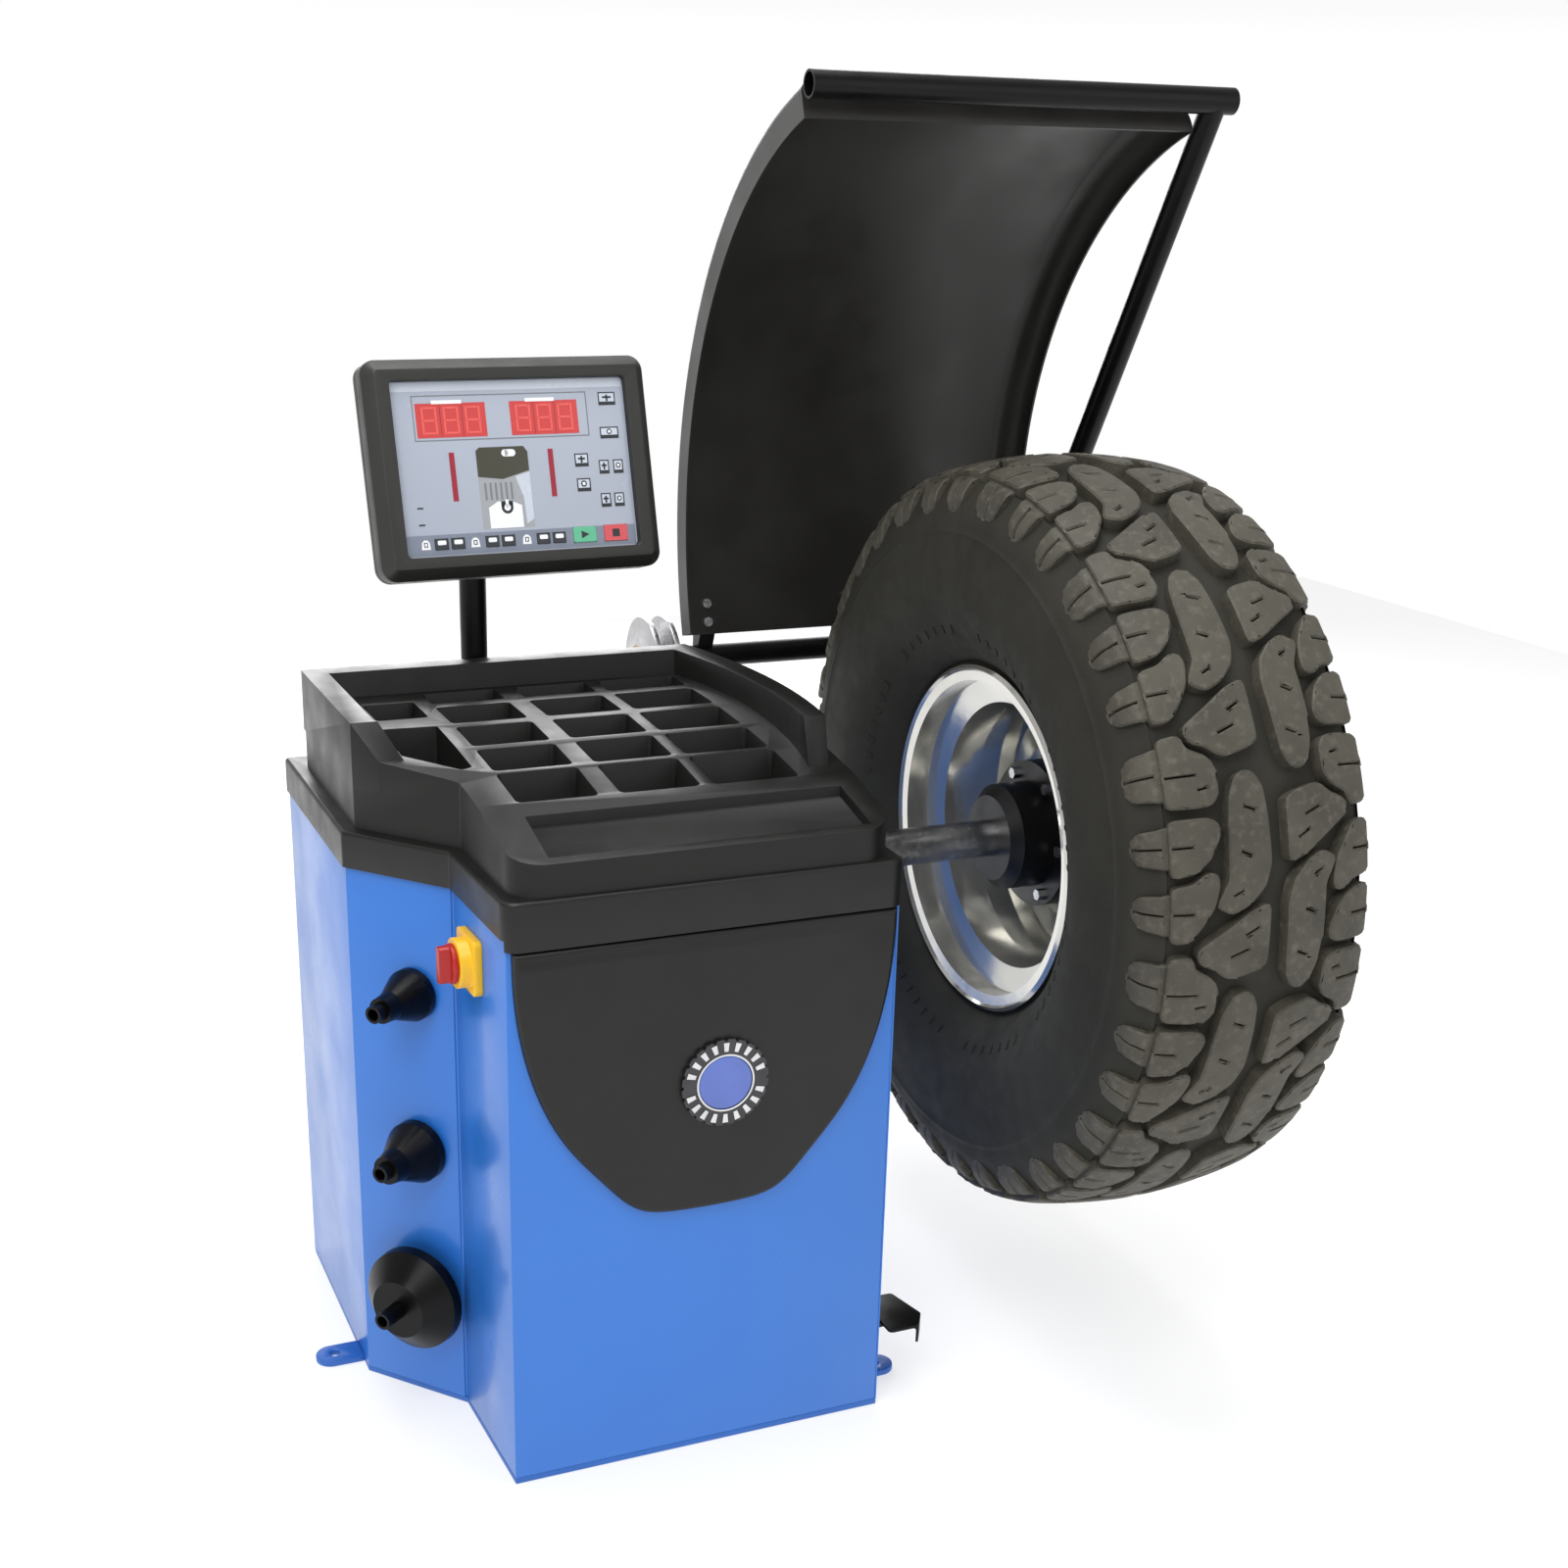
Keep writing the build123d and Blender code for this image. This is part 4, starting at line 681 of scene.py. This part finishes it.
def make_display_art():
    """Windows, figures, bars, diagram and small generic symbols on the screen."""
    tints = {"red": (196, 62, 62), "figure": (222, 92, 86), "deep": (152, 28, 50), "white": (240, 242, 246),
             "pale": (196, 204, 216), "grey": (120, 124, 130), "silver": (158, 162, 166),
             "dark": (34, 38, 44), "olive": (62, 62, 50), "slate": (124, 132, 148)}
    glows = {"red": 0.05, "figure": 0.05}
    shades = {key: look("art_" + key, screen_colour(*tint), 0.32, tone=0.04, bump=0.00002,
                        glow=glows.get(key, 0)) for key, tint in tints.items()}
    a = {key: Art() for key in tints}
    a["pale"].bar(-157, 97, 157, 108, high=0.1)
    left = -157
    for low, high, bottom, top in [(x - 9.4, x + 9.4, -101.4, -86.6) for x in KEY_COLUMNS] + [
            (68.6, 101.4, -102.4, -82), (112.1, 145.9, -102.9, -82)]:
        a["slate"].bar(left, -108, low, -82, high=0.08)
        a["slate"].bar(low, -108, high, bottom, high=0.08)
        if top < -82:
            a["slate"].bar(low, top, high, -82, high=0.08)
        left = high
    a["slate"].bar(left, -108, 157, -82, high=0.08)
    a["grey"].frame(-131, 35, 106, 92, 1.4)
    for x0 in (-127, -1):
        a["red"].bar(x0, 39, x0 + 93, 82)
        for place in range(3):
            digit(a["figure"], x0 + 7 + place * 29, 43, 21, 35)
            if place:
                a["dark"].bar(x0 + 3 + place * 29, 39, x0 + 3.5 + place * 29, 82, high=0.4)
        a["white"].bar(x0 + 22, 81, x0 + 62, 85.5, high=0.6)
    for x in (-89, 45):
        a["deep"].bar(x, -41, x + 7, 20, high=0.5)
    a["olive"].shape([(-53, -12), (-20, -16), (17, -6), (17, 18), (12, 25), (-48, 25), (-53, 21)], high=0.3)
    a["silver"].shape([(-53, -78), (17, -78), (17, -6), (-20, -16), (-53, -12)], high=0.2)
    a["pale"].shape([(-3, -13), (17, -8), (17, -68), (7, -74), (6, -40)], high=0.4)
    for k in range(6):
        a["grey"].bar(-46 + k * 7, -42, -43.4 + k * 7, -20, high=0.5)
    a["white"].bar(-43, -78, 2, -52, high=0.5)
    a["white"].shape([(-44, -52), (-30, -44), (-12, -44), (2, -50), (2, -52)], high=0.45)
    a["white"].disc(-14, 17, 4.5, high=0.5)
    a["white"].bar(-14, 12.5, -4, 21.5, high=0.5)
    a["white"].disc(-4, 17, 4.5, high=0.55)
    a["dark"].disc(-18, -52, 8, high=0.7)
    a["dark"].bar(-26, -52, -10, -44, high=0.7)
    a["white"].disc(-18, -52, 4.4, high=0.9)
    a["white"].bar(-20, -52, -16, -42, high=0.9)
    icons = [(135, 82, 24, 17), (134, 38, 26, 15), (91, 4, 19, 17), (91, -28, 19, 17), (122, -6, 14, 18),
             (142, -6, 14, 18), (120, -49, 14, 18), (139, -49, 14, 18)]
    for number, (x, y, w, h) in enumerate(icons):
        a["dark"].frame(x - w / 2, y - h / 2, x + w / 2, y + h / 2, 1.6)
        a["pale"].bar(x - w / 2 + 1.5, y - h / 2 + 1.5, x + w / 2 - 1.5, y + h / 2 - 1.5, high=0.15)
        a["dark"].bar(x - w / 2 + 1.6, y - h / 2 + 1.6, x + w / 2 - 1.6, y - h / 2 + 4.6, high=0.35)
        if number % 2:
            a["dark"].disc(x, y + 1.5, min(w, h) * 0.24, high=0.4)
            a["white"].disc(x, y + 1.5, min(w, h) * 0.13, high=0.6)
        else:
            a["dark"].bar(x - w * 0.26, y + 0.6, x + w * 0.26, y + 3, high=0.4)
            a["dark"].bar(x - 1.2, y - h * 0.2, x + 1.2, y + h * 0.3, high=0.4)
    for y in (-48, -69):
        a["dark"].bar(-138, y - 1, -130, y + 1)
    for x in (-132, -66, 4):
        a["white"].shape([(x - 6, -100), (x + 6, -100), (x + 5, -91), (x + 2, -88), (x - 2, -88),
                          (x - 5, -91)], high=0.3)
        a["dark"].frame(x - 2.6, -97, x + 2.6, -91, 1.1, high=0.5)
    on_key = {"low": KEY_TOP - 0.2, "high": KEY_TOP + 0.25}
    for number, x in enumerate(KEY_COLUMNS, 1):
        cap = Art()
        corners = [(x - 5.6, -95), (x + 5.6, -95), (x + 5.6, -89.4), (x - 5.6, -89.4)]
        cap.shape(rounded(corners, 1.5), **on_key)
        cap.build(f"cap_{number}", shades["white"], f"button_{number}", "key_dark")
    for name, slot, points in (("start", "key_green", [(80, -97), (91, -92), (80, -87)]),
                               ("stop", "key_red", [(124, -97), (134, -97), (134, -87), (124, -87)])):
        cap = Art()
        cap.shape(points, **on_key)
        cap.build("cap_" + name, shades["dark"], "button_" + name, slot)
    for key, art in a.items():
        art.build("art_" + key, shades[key])


EASED_EDGES = {"weight_tray": 2.2, "front_apron": 2, "display_case": 3, "display_back": 3, "switch_plate": 1,
               "switch_knob": 1.2, "front_panel": 1.2, "base_plate": 1, "brake_pedal": 1, "anchor_feet": 1,
               "hood_bracket": 1}        # width of each piece's eased edges, mm

make_camera()
make_stage()
dress_nodes()
make_tyre()
make_badge()
make_display_art()
for name, width in EASED_EDGES.items():
    polished(name, width)
polished("left_panel", 0.6, move=open_seam)
